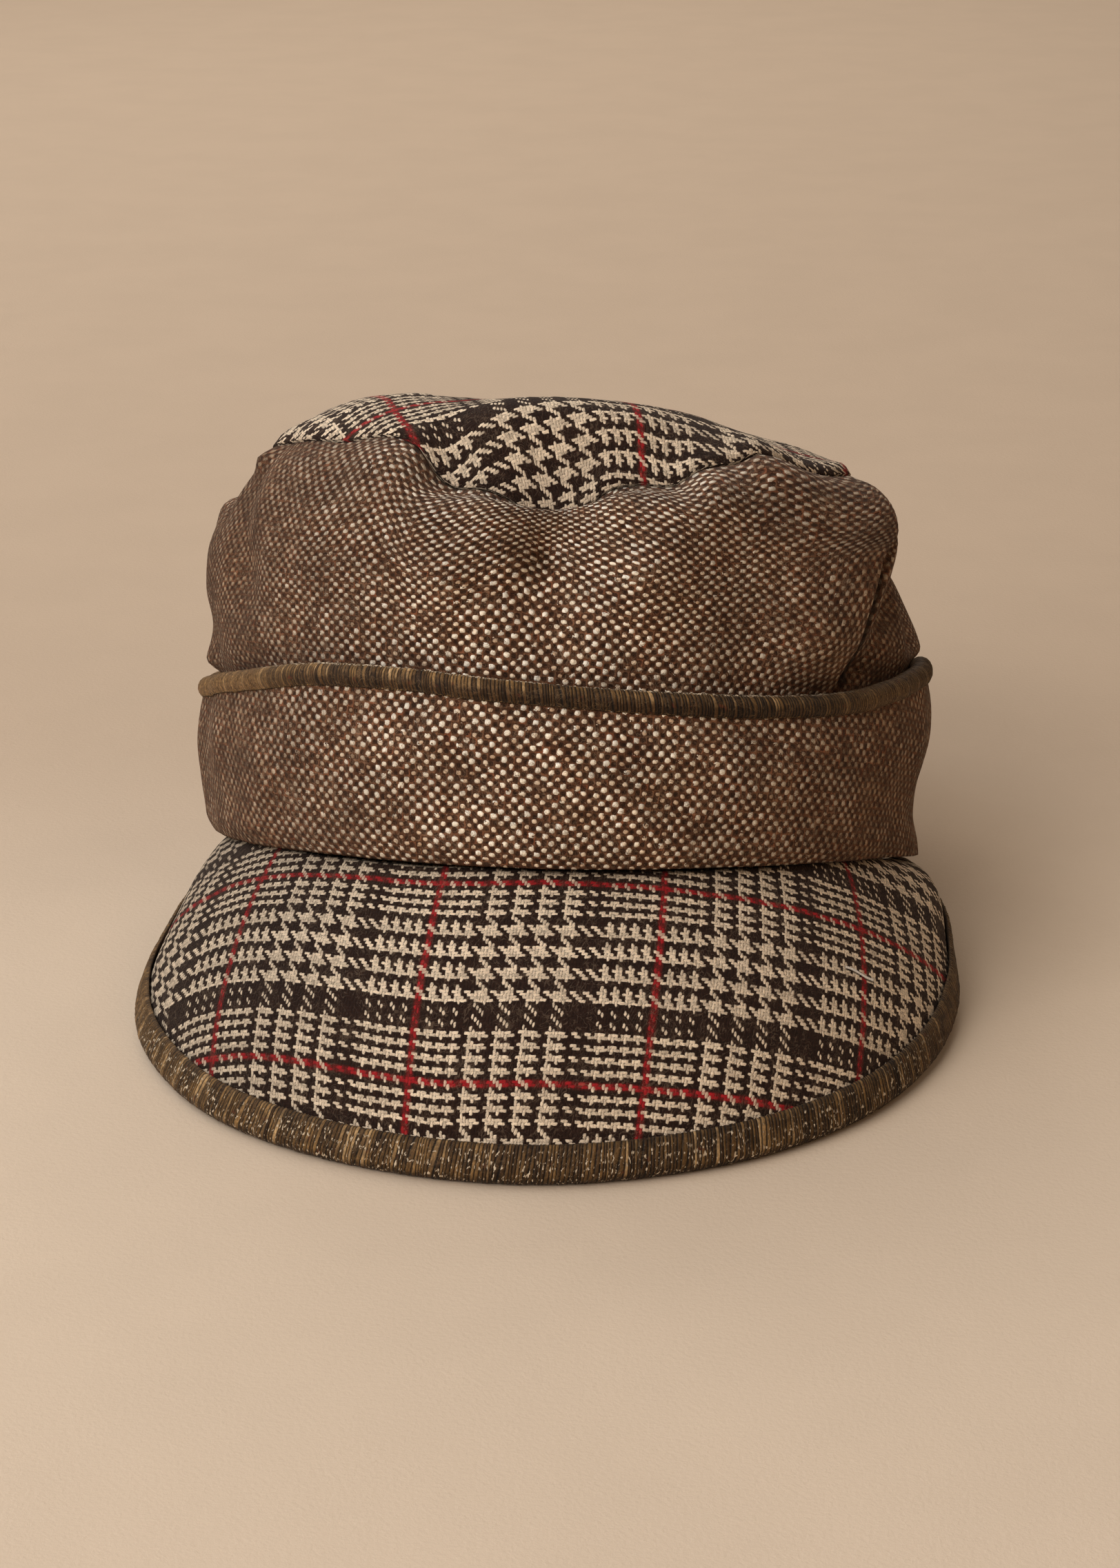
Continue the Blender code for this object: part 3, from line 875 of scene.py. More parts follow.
def make_twill_check():
    """Two-and-two twill whose warp and weft both follow the sett, with a mask of the red yarns' lines."""
    graph, given, out = node_group(
        "Twill check",
        (("Vector", "Vector", None), ("Pitch", "Float", 0.714)),
        (("Color", "Color"), ("Height", "Float"), ("Chance", "Float"), ("Red", "Float")),
    )
    yarns = graph.vector("SCALE", given["Vector"], scale=graph.math("DIVIDE", 1.0, given["Pitch"]))
    index = graph.vector("FLOOR", yarns)
    x, y, _ = graph.split(graph.vector("SUBTRACT", graph.vector("FRACTION", yarns), MIDDLE))
    column, row, _ = graph.split(index)
    phase = graph.math("FLOORED_MODULO", graph.math("SUBTRACT", row, column), 4.0)
    over = graph.math("LESS_THAN", phase, 1.5)
    warp = use_group(graph, "Sett", yarn=column)["Color"]
    weft = use_group(graph, "Sett", yarn=row)["Color"]

    def dome(across, narrow):
        """A yarn's roundness across it."""
        squared = graph.math("MULTIPLY", across, across)
        return graph.math("SUBTRACT", 1.0, graph.math("MULTIPLY", squared, narrow))

    def bow(along):
        """A yarn's rise along its float, from -1 where it dives to 1 where it dives again."""
        return graph.math("SUBTRACT", 1.0, graph.math("POWER", graph.math("ABSOLUTE", along), 2.0))

    warp_bow = bow(graph.math("ADD", graph.math("SUBTRACT", phase, 0.5), y))
    weft_bow = bow(graph.math("SUBTRACT", graph.math("SUBTRACT", phase, 2.5), x))
    weft_height = graph.math("ADD", dome(y, 2.8), weft_bow)
    warp_height = graph.math("ADD", dome(x, 5.0), warp_bow)
    height = graph.math("MULTIPLY", graph.mix(over, weft_height, warp_height), 0.5)
    upper = graph.mix(over, weft, warp)
    darker = graph.mix(1.0, weft, warp, "DARKEN")
    widest, middle = widest_dark()
    turn = graph.math("FLOORED_MODULO", graph.math("ADD", row, 0.5), SETT_YARNS)
    away = graph.math("ABSOLUTE", graph.math("SUBTRACT", turn, middle))
    band = graph.math("LESS_THAN", away, widest / 2)
    bare, whole = (graph.math("MULTIPLY_ADD", band, *pair) for pair in ((0.3, 0.18), (0.34, 0.46)))
    colour = graph.mix(graph.span(height, bare, whole), darker, upper)
    chance, _ = graph.random(graph.join(graph.math("MULTIPLY", column, over), row))
    reds = []
    for place in graph.split(yarns)[:2]:
        turn = graph.math("FLOORED_MODULO", graph.math("ADD", place, SETT_YARNS / 2 - 1.0), SETT_YARNS)
        away = graph.math("ABSOLUTE", graph.math("SUBTRACT", turn, SETT_YARNS / 2))
        reds.append(graph.math("SUBTRACT", 1.0, graph.span(away, 0.5, 1.7)))
    graph.feed(out["Red"], graph.math("MAXIMUM", *reds))
    graph.feed(out["Color"], colour)
    graph.feed(out["Height"], height)
    graph.feed(out["Chance"], chance)


def make_ribs():
    """Thread ribs that cross a braid: X runs along the braid and Y across it."""
    graph, given, out = node_group(
        "Braid ribs",
        (("Vector", "Vector", None), ("Pitch", "Float", 0.88)),
        (("Height", "Float"), ("Chance", "Float"), ("Strand", "Float")),
    )
    x, y, _ = graph.split(given["Vector"])
    rib = graph.math("DIVIDE", x, given["Pitch"])
    index = graph.math("FLOOR", rib)
    side = graph.math("SUBTRACT", graph.math("FRACT", rib), 0.5)
    dome = graph.math("SUBTRACT", 1.0, graph.math("MULTIPLY", graph.math("MULTIPLY", side, side), 4.0))
    chance, _ = graph.random(graph.join(index, 0.0))
    along = graph.join(graph.math("MULTIPLY", x, 5.0), graph.math("MULTIPLY", y, 0.9))
    graph.feed(out["Height"], dome)
    graph.feed(out["Chance"], chance)
    graph.feed(out["Strand"], graph.noise(along, 1.0, 3.0, 0.7))


def make_groups(cloth):
    """All shared effects, built once."""
    if bpy.data.node_groups.get("Wool fuzz"):
        return
    make_wool_fuzz()
    make_wander()
    make_birds_eye()
    make_sett({"pale": cloth.check_pale, "dark": cloth.check_dark, "red": cloth.check_red})
    make_twill_check()
    make_ribs()


# ---------------------------------------------------------------- materials

THREAD_MIDDLE = (50.85, 13.95)  # place of a loose thread in the check's map, which only the peak reaches
THREAD_HALF_LENGTH = 4.2
TWEED_TURN = math.radians(5)  # how far the tweed's rows lean, falling to the wearer's left
TWEED_FRONT = (14.0, 92.0)  # how far round from the front the tweed goes from its painted highlight to its sides, which are worn and painted darker

# The shade in the pleat's crease, in millimetres of the tweed's map
CREASE_HEIGHTS = (46, 62)
CREASE_PLACES = (92.4, 90.4)  # where it lies round the cap, at those two heights
CREASE_EDGES = ((0.0, 1.4), (5.4, 3.4))  # in front of that, where its two edges fade in
CREASE_ENDS = ((40, 44), (84, 70))  # heights where its foot and its head fade in
CREASE_STRENGTH = 0.8

# Looks of the two braids. Distances are in millimetres of the braid's map.
CUFF_BRAID = {
    "golden_to": 4.4,  # across the braid, how far its golden threads reach, over its upper side: their own colour with a painted highlight, and below them dull threads in painted shade
    "fleck_from": -0.8,  # across the braid, where the cream flecks lie
    "fleck_to": 1.8,
    "fleck_least": 0.53,  # the less, the more flecks
    "smooth_from": 58.0,  # along the braid from its middle, where its ribs start to fade
    "side_gold": 0.85,  # how golden it is from there on
    "painted_light_middle": 1.25,  # brightness of its middle, a painted light
    "painted_shade_left": 0.9,  # and of its end on the wearer's left, a painted shade
}
PEAK_BRAID = {
    "golden_to": 8.6,
    "fleck_from": 2.2,
    "fleck_to": 10.4,
    "fleck_least": 0.625,
    "smooth_from": 100.0,
    "side_gold": 0.3,
    "painted_light_middle": 0.97,
    "painted_shade_left": 0.9,
}


def new_material(name):
    """(material, graph, surface shader) of a new material."""
    material = bpy.data.materials.new(name)
    material.use_nodes = True
    return material, Graph(material.node_tree), material.node_tree.nodes["Principled BSDF"]


def finish_cloth(graph, surface, colour, height, depth, roughness, sheen):
    """Feeds the shader: depth is the height's size in millimetres, and sheen the wool's soft halo."""
    graph.feed(surface.inputs["Base Color"], colour)
    graph.feed(surface.inputs["Roughness"], roughness)
    bump = graph.node("Bump", {"Strength": 1.0, "Distance": depth * MM, "Height": height})
    graph.feed(surface.inputs["Normal"], bump.outputs[0])
    surface.inputs["Specular IOR Level"].default_value = 0.2
    surface.inputs["Sheen Weight"].default_value = sheen
    surface.inputs["Sheen Roughness"].default_value = 0.5
    surface.inputs["Sheen Tint"].default_value = (1.0, 0.9, 0.8, 1)


def crease_shade(graph, round_way, up):
    """A mask of the shade in the pleat's crease, a band in front of it that fades at both ends."""
    before = graph.math("SUBTRACT", graph.span(up, *CREASE_HEIGHTS, *CREASE_PLACES), round_way)
    band = graph.math("MULTIPLY", *(graph.span(before, *edge) for edge in CREASE_EDGES))
    ends = graph.math("MULTIPLY", *(graph.span(up, *end) for end in CREASE_ENDS))
    return graph.math("MULTIPLY", band, ends)


def tweed_material(cloth):
    """Bird's-eye tweed: pale dots and dark hollows on brown, brighter at the front where it is least worn."""
    found = bpy.data.materials.get("Birdseye tweed")
    if found:
        return found
    material, graph, surface = new_material("Birdseye tweed")
    here = cloth_map(graph)
    cell = cloth.tweed_cell / MM
    turned = graph.turn(here, TWEED_TURN)
    wander = use_group(graph, "Yarn wander", vector=turned, size=5.0 * cell, amount=0.7 * cell)["Vector"]
    wander = use_group(graph, "Yarn wander", vector=wander, size=0.9 * cell, amount=0.30 * cell)["Vector"]
    round_way, up, _ = graph.split(here)
    # painted highlight and shade: 0 at the front, under a painted highlight, to 1 at the sides, which are
    # painted duller and darker; the sides' yarns also fray more, as wear
    wear_and_side_shade = graph.span(graph.math("ABSOLUTE", round_way), *TWEED_FRONT, smooth=False)
    patch = graph.noise(here, 11.0, 3.0, 0.6)
    wear_and_side_shade = graph.math("ADD", wear_and_side_shade, graph.span(patch, 0.35, 0.7, -0.12, 0.16), clamp=True)
    ragged = graph.math("MULTIPLY_ADD", wear_and_side_shade, 0.32 * cell, 0.12 * cell)
    wander = use_group(graph, "Yarn wander", vector=wander, size=0.24 * cell, amount=ragged)["Vector"]
    weave = use_group(graph, "Birds-eye weave", vector=wander, cell=cell)
    grain = graph.noise(turned, 0.26, 3.0, 0.75)
    streak_x, streak_y, _ = graph.split(wander)
    streaks = graph.join(graph.math("MULTIPLY", streak_x, 2.6), graph.math("MULTIPLY", streak_y, 0.55))
    strand = graph.noise(streaks, 1.0, 3.0, 0.65)
    bright_and_lit = graph.ramp(
        weave["Chance"],
        (
            (0.0, srgb(200, 168, 136)),
            (0.18, srgb(242, 220, 192)),
            (0.5, srgb(255, 243, 220)),
            (1.0, srgb(255, 250, 236)),
        ),
    )
    dull_and_shaded = graph.ramp(weave["Chance"], ((0.0, srgb(98, 78, 58)), (1.0, srgb(180, 154, 124))))
    # painted light: the pale dots run from a bright, lit copy at the front to a dull, shaded copy at the
    # sides, and are painted up to 1.16 times brighter at the front
    pale = graph.mix(wear_and_side_shade, bright_and_lit, dull_and_shaded)
    pale = graph.shade(pale, graph.span(wear_and_side_shade, 0.0, 0.6, 1.16, 1.0))
    tint, _, _ = graph.split(weave["Tint"])
    ground = graph.ramp(
        tint,
        (
            (0.0, srgb(70, 43, 27)),
            (0.5, srgb(98, 66, 45)),
            (0.85, srgb(124, 88, 64)),
            (1.0, srgb(122, 72, 46)),
        ),
    )
    ground = graph.shade(ground, graph.span(strand, 0.3, 0.7, 0.8, 1.5))
    # the hollows are painted darkest at the front, as part of its painted highlight
    deep = graph.mix(wear_and_side_shade, (*srgb(20, 12, 7), 1), (*srgb(28, 17, 11), 1))
    hollow = graph.math("MULTIPLY", weave["Hollow"], graph.span(grain, 0.36, 0.58, 1.0, 0.62))
    colour = graph.mix(hollow, ground, deep)
    dot = graph.span(weave["Dot"], graph.math("MULTIPLY", wear_and_side_shade, 0.3), 1.0, smooth=False)
    colour = graph.mix(dot, colour, pale)
    colour = graph.shade(colour, graph.span(grain, 0.3, 0.7, 0.86, 1.2))
    dark_place = graph.vector("ADD", here, (31.0, 17.0, 0.0))
    dark_fuzz = use_group(graph, "Wool fuzz", vector=dark_place, size=1.8, thickness=0.035)["Mask"]
    pale_fuzz = use_group(graph, "Wool fuzz", vector=here, size=1.5, thickness=0.03)["Mask"]
    colour = graph.lay(colour, dark_fuzz, 0.55, srgb(66, 44, 30))
    colour = graph.lay(colour, pale_fuzz, 0.30, srgb(180, 150, 122))
    colour = graph.lay(colour, crease_shade(graph, round_way, up), CREASE_STRENGTH, srgb(22, 14, 9))
    colour = graph.shade(colour, graph.span(graph.noise(here, 17.0, 3.0, 0.65), 0.32, 0.68, 0.84, 1.2))
    height = graph.math("MULTIPLY_ADD", grain, 0.4, weave["Height"])
    height = graph.math("MULTIPLY_ADD", pale_fuzz, 0.2, height)
    finish_cloth(graph, surface, colour, height, 0.42, 0.9, 0.05)
    return material


def loose_thread(graph, here):
    """Masks of a short end of pale yarn that lies on the peak, and of the shade beside it."""
    x, y, _ = graph.split(graph.vector("SUBTRACT", here, (*THREAD_MIDDLE, 0.0)))
    wave = graph.math("MULTIPLY", graph.math("SINE", graph.math("MULTIPLY", x, 0.75)), 0.2)
    across = graph.math("SUBTRACT", y, graph.math("MULTIPLY_ADD", x, 0.1, wave))
    along = graph.span(graph.math("ABSOLUTE", x), THREAD_HALF_LENGTH + 0.2, THREAD_HALF_LENGTH)
    thread = graph.span(graph.math("ABSOLUTE", across), 0.42, 0.28)
    shade = graph.span(graph.math("ABSOLUTE", graph.math("SUBTRACT", across, 0.55)), 0.5, 0.2)
    return graph.math("MULTIPLY", thread, along), graph.math("MULTIPLY", shade, along)


def check_material(cloth):
    """Glen check: cream and dark brown twill with a red overcheck, brushed."""
    found = bpy.data.materials.get("Glen check")
    if found:
        return found
    material, graph, surface = new_material("Glen check")
    here = cloth_map(graph)
    pitch = cloth.yarn_pitch / MM
    wander = use_group(graph, "Yarn wander", vector=here, size=6.0, amount=0.9)["Vector"]
    wander = use_group(graph, "Yarn wander", vector=wander, size=1.1, amount=0.5)["Vector"]
    twill = []  # the weave three times over, each more finely frayed, to be blended
    for size, amount in ((0.34, 0.5), (0.2, 0.5), (0.13, 0.6)):
        ragged = use_group(graph, "Yarn wander", vector=wander, size=size, amount=amount)["Vector"]
        twill.append(use_group(graph, "Twill check", vector=ragged, pitch=pitch))
    grain = graph.noise(here, 0.26, 3.0, 0.75)
    loose = graph.span(graph.noise(here, 0.7, 2.0, 0.6), 0.42, 0.62, 0.15, 0.75)
    colour = graph.mix(loose, twill[0]["Color"], twill[1]["Color"])
    colour = graph.mix(0.34, colour, twill[2]["Color"])
    # painted shade: each yarn darkened, down to 0.34 of its colour, where it dives under the others
    colour = graph.shade(colour, graph.span(twill[0]["Height"], 0.18, 0.62, 0.34, 1.0))
    colour = graph.shade(colour, graph.span(twill[0]["Chance"], 0.0, 1.0, 0.76, 1.12, smooth=False))
    colour = graph.shade(colour, graph.span(grain, 0.3, 0.7, 0.74, 1.12))
    red = graph.math("MULTIPLY", twill[0]["Red"], graph.span(grain, 0.35, 0.6, 0.08, 0.45))
    colour = graph.mix(red, colour, (*cloth.check_red, 1))
    pale_fuzz = use_group(graph, "Wool fuzz", vector=here, size=1.2, thickness=0.04)["Mask"]
    dark_place = graph.vector("ADD", here, (13.0, 41.0, 0.0))
    dark_fuzz = use_group(graph, "Wool fuzz", vector=dark_place, size=1.4, thickness=0.05)["Mask"]
    colour = graph.lay(colour, dark_fuzz, 0.38, srgb(62, 44, 34))
    colour = graph.lay(colour, pale_fuzz, 0.16, srgb(186, 160, 134))
    thread, shade = loose_thread(graph, here)
    colour = graph.lay(colour, shade, 0.75, srgb(30, 20, 14))
    colour = graph.mix(thread, colour, (*srgb(255, 248, 238), 1))
    # painted shade: the check darkened to 0.74 from -45 to -95 mm across its map, the wearer's right end of
    # the peak
    aside, _, _ = graph.split(here)
    colour = graph.shade(colour, graph.span(aside, -95.0, -45.0, 0.74, 1.0))
    height = graph.math("MULTIPLY_ADD", grain, 0.5, twill[0]["Height"])
    height = graph.math("MULTIPLY_ADD", thread, 1.5, height)
    height = graph.math("MULTIPLY_ADD", pale_fuzz, 0.25, height)
    finish_cloth(graph, surface, colour, height, 0.2, 0.9, 0.05)
    return material


def braid_material(braid, name, look):
    """Olive-brown ribbed braid with golden threads, cream flecks and sides that have lost their ribs."""
    found = bpy.data.materials.get(name)
    if found:
        return found
    material, graph, surface = new_material(name)
    here = cloth_map(graph)
    ribs = use_group(graph, "Braid ribs", vector=here, pitch=braid.rib_pitch / MM)
    x, y, _ = graph.split(here)
    across = graph.math("MULTIPLY_ADD", graph.noise(here, 3.5, 2.0), 2.4, graph.math("SUBTRACT", y, 1.2))
    golden_to, smooth_from = look["golden_to"], look["smooth_from"]
    # painted highlight and shade: golden threads on the braid's upper side, where the light falls, and dull
    # ones below them
    golden = graph.math("SUBTRACT", 1.0, graph.span(across, golden_to - 1.8, golden_to + 1.2))
    tuft = graph.span(graph.noise(here, 4.5, 3.0, 0.6), 0.36, 0.62)
    golden = graph.math("MULTIPLY", golden, graph.math("MULTIPLY_ADD", tuft, 0.75, 0.25))
    aside = graph.span(graph.math("ABSOLUTE", x), smooth_from, smooth_from + 34.0)
    golden = graph.math("MAXIMUM", golden, graph.math("MULTIPLY", aside, look["side_gold"]))
    thread = graph.ramp(
        ribs["Chance"],
        (
            (0.0, srgb(66, 45, 24)),
            (0.5, srgb(104, 78, 46)),
            (0.85, srgb(142, 110, 68)),
            (1.0, srgb(196, 162, 116)),
        ),
    )
    scribble = graph.noise(graph.join(x, graph.math("MULTIPLY", y, 0.6)), 0.55, 3.0, 0.7, 1.2)
    plain = graph.ramp(
        scribble,
        (
            (0.34, srgb(58, 39, 20)),
            (0.5, srgb(108, 80, 48)),
            (0.66, srgb(158, 124, 80)),
        ),
    )
    thread = graph.mix(graph.math("MULTIPLY", aside, 0.8), thread, plain)
    dull_and_shaded = graph.ramp(ribs["Chance"], ((0.0, srgb(34, 22, 12)), (1.0, srgb(76, 54, 32))))
    colour = graph.mix(golden, dull_and_shaded, thread)
    # painted shade: the valleys between the ribs darkened, to 0.1 of their colour in the middle and less at
    # the smooth sides
    valley_shade = graph.math("MULTIPLY_ADD", aside, 0.35, 0.1)
    colour = graph.shade(colour, graph.span(ribs["Height"], 0.2, 0.95, valley_shade, 1.08))
    colour = graph.shade(colour, graph.span(ribs["Strand"], 0.34, 0.66, 0.55, 1.4))
    rust = graph.span(graph.noise(here, 3.2, 3.0, 0.7), 0.62, 0.72, 0.0, 0.45)
    colour = graph.mix(rust, colour, (*srgb(104, 46, 28), 1))
    spots = graph.noise(graph.join(graph.math("DIVIDE", x, 0.5), graph.math("DIVIDE", y, 1.3)), 1.0, 2.0, 0.5)
    groups = graph.span(graph.noise(here, 6.0, 2.0), 0.42, 0.58, 0.0, 0.05)
    fleck_from, fleck_to, fleck_least = look["fleck_from"], look["fleck_to"], look["fleck_least"]
    flecks = graph.span(graph.math("ADD", spots, groups), fleck_least, fleck_least + 0.05)
    lower, upper = graph.span(y, fleck_from - 0.6, fleck_from), graph.span(y, fleck_to, fleck_to - 0.8)
    band = graph.math("MULTIPLY", lower, upper)
    flecks = graph.math("MULTIPLY", flecks, graph.math("MULTIPLY", band, graph.math("SUBTRACT", 1.0, aside)))
    colour = graph.mix(flecks, colour, (*srgb(224, 206, 178), 1))
    fuzz = use_group(graph, "Wool fuzz", vector=here, size=1.1, thickness=0.04)["Mask"]
    colour = graph.lay(colour, fuzz, 0.18, srgb(166, 136, 98))
    # painted light and shade: brighter in the middle and darker towards the end on the wearer's left
    colour = graph.shade(colour, graph.span(x, 20.0, 110.0, look["painted_light_middle"], look["painted_shade_left"]))
    height = graph.math("MULTIPLY_ADD", ribs["Strand"], 0.7, ribs["Height"])
    height = graph.math("ADD", height, flecks)
    finish_cloth(graph, surface, colour, height, 0.18, 0.6, 0.04)
    return material


# ---------------------------------------------------------------- pieces

SEAM_ROLL = 1.0 * MM  # how deep the cloth dips at the seam of the tip
SEAM_ROLL_WIDTH = 2.2 * MM

SIDE_COLUMNS = 430
SIDE_REACHES = 66
SIDE_INNER_STEP = 6  # the inside keeps one in so many rows
SIDE_INNER_MAP = (130, 8)  # its first row's place on the cloth map, and the step to the next
SIDE_CREASED_FROM = 0.42  # reach where the side's unevenness starts, above the cuff
SIDE_CREASED_TO = 0.55
SIDE_CLOTH_HEIGHT = 112  # millimetres from the rim to the seam, before the cloth is gathered
PLEAT_COLUMN_STEP = 0.18  # degrees between the extra columns at the pleat
PLEAT_COLUMNS = range(-20, 26)
ROWS_BENT_FROM = (0.45, 0.2)  # reach where the rows start to follow the seam, and how much later at the dent
DENT_ASIDE = 4  # millimetres that the dent's foot lies to the wearer's right in the map
DENT_CROSSES = 6  # and that it crosses to the left on its way up
DENT_CROSS_FROM = 0.75  # from this reach on
DENT_GATHER = 6.5  # millimetres of cloth taken up on each side of the dent
DENT_GATHERED = (0.66, 0.95)  # reaches between which that grows
DENT_WIDTH = 9
DENT_SINK = 9  # and from above, so that the rows dip further than the seam
DENT_SUNK = (0.66, 0.98)
DENT_SINK_WIDTH = 15

TIP_COLUMNS = 300
TIP_RINGS = 44
TIP_STEEP_RINGS = 12  # rings from the seam in, where the dent may be steep
TIP_INNER_STEP = 4  # inside those, the inside keeps one in so many rings
TIP_INNER_RADIUS = 80  # of the inside on the cloth map
TIP_LAST_REACH = 1.9999  # just short of the centre, where all the columns meet
TIP_EVEN = 9  # columns over which the lengths of the tip's spokes are evened out
TIP_STRETCH = 0.88
TIP_TURN = (0.97, 0.25)  # cosine and sine of the check's turn on the tip
TIP_RED = (2.1, -154.2)  # where a red line crosses the tip, from its centre, three repeats along

CUFF_ROWS_UP = 34
CUFF_ROW_POWER = 1.25  # how much closer the rows stand at the cuff's foot
CUFF_INNER_STEP = 5
CUFF_INNER_MAP = (60, 6)  # the first inner row's place on the cloth map, and the step to the next
CUFF_MAP_SHIFT = 0.8  # millimetres that the weave is moved round the cuff
CUFF_FOOT_DEPTH = 2.24 * MM  # how far the cuff's foot rounds in
CUFF_FOOT_DROP = 0.7 * MM  # how far down it goes with that
CUFF_FOOT_SHARE = 0.12  # and over how much of the cuff's height
FLARED_ANGLE = 90  # degrees from the front, where the cuff's foot stands out and hardly rounds in
FLARED_HALF_WIDTH = 32
FLARED_SHARE = 0.7  # of the rounding, which is left out there

BRAID_TUCK = 2.2 * MM  # how far the crown's sides draw in behind the cuff's braid
BRAID_TUCK_HALF_HEIGHT = 5.5 * MM  # above and below the cuff's edge
BRAID_TUCK_ANGLES = (35, 65)  # degrees from the front between which the tuck starts
BRAID_POINTS = 15  # of the cuff braid's section, without its slot
BRAID_START = -62  # degrees round the section where its outer face starts
BRAID_SWEEP = 304  # and degrees that it covers
BRAID_SLOT_DEPTH = 0.85  # share of its half height, below its middle, where the slot opens
BRAID_BELOW = 0.94  # share of the cuff's height that its braid takes its upright from
CUFF_BRAID_TOP = 7.7  # millimetres across the braid from its lower edge to its highest line
RIB_SLANT = 0.12  # how far the ribs lean: millimetres along the braid for each one across it
RIB_WANDER = 0.9  # millimetres that the ribs shift along the braid
RIB_WANDER_RATE = 0.35  # how quickly that shift changes, in waves to a millimetre
RIB_SIZES = (0.5, 1.3)  # how high the ribs stand, from the lowest to the highest
RIB_FLATNESS = 0.8  # below 1, their tops are flatter than a wave's
RIB_STEPS = 4  # rings of points for each rib
CUFF_BRAID_SEED = 3
PEAK_BRAID_SEED = 5

PEAK_COLUMNS = 260
PEAK_ROWS = 42
PEAK_INNER_STEP = 4
CHECK_SLANT = 0.09  # how far the check's upright lines lean on the peak
CHECK_DROOP = 14.5  # millimetres that its level lines drop towards the wearer's right
CHECK_DROOPS = (15, 90)  # millimetres to the wearer's right between which they drop
CHECK_RED = (25.7, -3.9)  # where two red lines cross on the peak, from the middle of its seam
UNDER_SHIFT = 102.8  # two repeats of the check, so that the underside has a map of its own
EDGE_ENDS = (0.02, 0.14)  # shares of the peak between which its braid grows to its full size
EDGE_WIDTHS = (0.34, 0.66)  # share of its full width at the ends, and how much it grows from there
EDGE_ROLLS = (0.16, 0.84)  # and the same for how far it rolls over the edge
EDGE_MOST = 0.35  # of the peak's depth, which the braid's width stays under
EDGE_BEND = 11  # points round the edge
EDGE_FLATNESS = 0.9  # below 1, they round a flatter edge than a half circle's
EDGE_TOP = (
    # share of its width, share of its cloth's thickness
    (1, 0.3),
    (0.9, 0.8),
    (0.7, 1),
    (0.45, 1),
    (0.2, 1),
)
EDGE_UNDER = (0.35, 0.7, 0.95)  # shares of its width, underneath


def behind_braid(angle, height):
    """How far the crown's sides draw in behind the braid on the cuff's edge."""
    away = (height - by_angle(CUFF_ROWS, angle)) / BRAID_TUCK_HALF_HEIGHT
    to_side = smooth_step(*BRAID_TUCK_ANGLES, abs(math.degrees(angle)))
    return BRAID_TUCK * math.exp(-away * away) * to_side


def crown_point(column, reach):
    """The crown's outer face, with the pleat and the cloth's unevenness, in the cap's frame."""
    height = reach * by_angle(SEAM_ROWS, column)
    angle = pleat_column(column, height)
    point = skin(angle, reach)
    out = outwards(angle)
    point += out * (pleat_move(column, height) - behind_braid(angle, height))
    free = smooth_step(SIDE_CREASED_FROM, SIDE_CREASED_TO, reach)
    return point + out * crumple(point, CROWN_CRUMPLES) * free


def side_map(around, up, full, reach):
    """Cloth map of the crown's side: rows run along the seam near the top, and bunch up in the dent."""
    beside = around + DENT_ASIDE - DENT_CROSSES * smooth_step(DENT_CROSS_FROM, 1.0, reach)
    near = math.exp(-((beside / DENT_SINK_WIDTH) ** 2))
    share = smooth_step(ROWS_BENT_FROM[0] + ROWS_BENT_FROM[1] * near, 1.0, reach)
    gathered = DENT_GATHER * math.tanh(beside / DENT_WIDTH) * smooth_step(*DENT_GATHERED, reach)
    sunk = DENT_SINK * near * smooth_step(*DENT_SUNK, reach)
    return (around + gathered, up + (SIDE_CLOTH_HEIGHT - full) * share + sunk)


def crown_side(settings):
    """The side of the crown, from the rim to the seam of the tip."""
    near_pleat = [math.radians(PLEAT_ANGLE + step * PLEAT_COLUMN_STEP) for step in PLEAT_COLUMNS]
    angles = columns(SIDE_COLUMNS, near_pleat)
    nape_seam = SEAM_ROWS[0][1]
    top = 1 - GAP / (2 * nape_seam * MM)
    reaches = [top * index / SIDE_REACHES for index in range(SIDE_REACHES + 1)]
    outer = [[crown_point(angle, reach) for angle in angles] for reach in reaches]
    for ring, reach in zip(outer, reaches):
        dip = (top - reach) * nape_seam * MM / SEAM_ROLL_WIDTH
        drop = SEAM_ROLL * math.exp(-dip * dip)
        for point in ring:
            point.z -= drop
    inner = wall(outer, grid_normals(outer), CLOTH, range(SIDE_REACHES, -1, -SIDE_INNER_STEP))
    around = arc_lengths(outer[SIDE_REACHES // 2])
    middle = around[angles.index(min(angles, key=abs))]
    around = [length - middle for length in around]
    up = [arc_lengths(column) for column in zip(*outer)]
    rings = []
    for i, (ring, reach) in enumerate(zip(outer, reaches)):
        spots = [side_map(across, lengths[i], lengths[-1], reach) for across, lengths in zip(around, up)]
        rings.append([(stand(point), spot) for point, spot in zip(ring, spots)])
    first, step = SIDE_INNER_MAP
    for count, ring in enumerate(inner):
        down = first + count * step
        rings.append([(stand(point), (across, down)) for point, across in zip(ring, around)])
    piece = loft("crown_side_cloth", rings, tweed_material(settings), True)
    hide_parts("crown_side")
    return piece


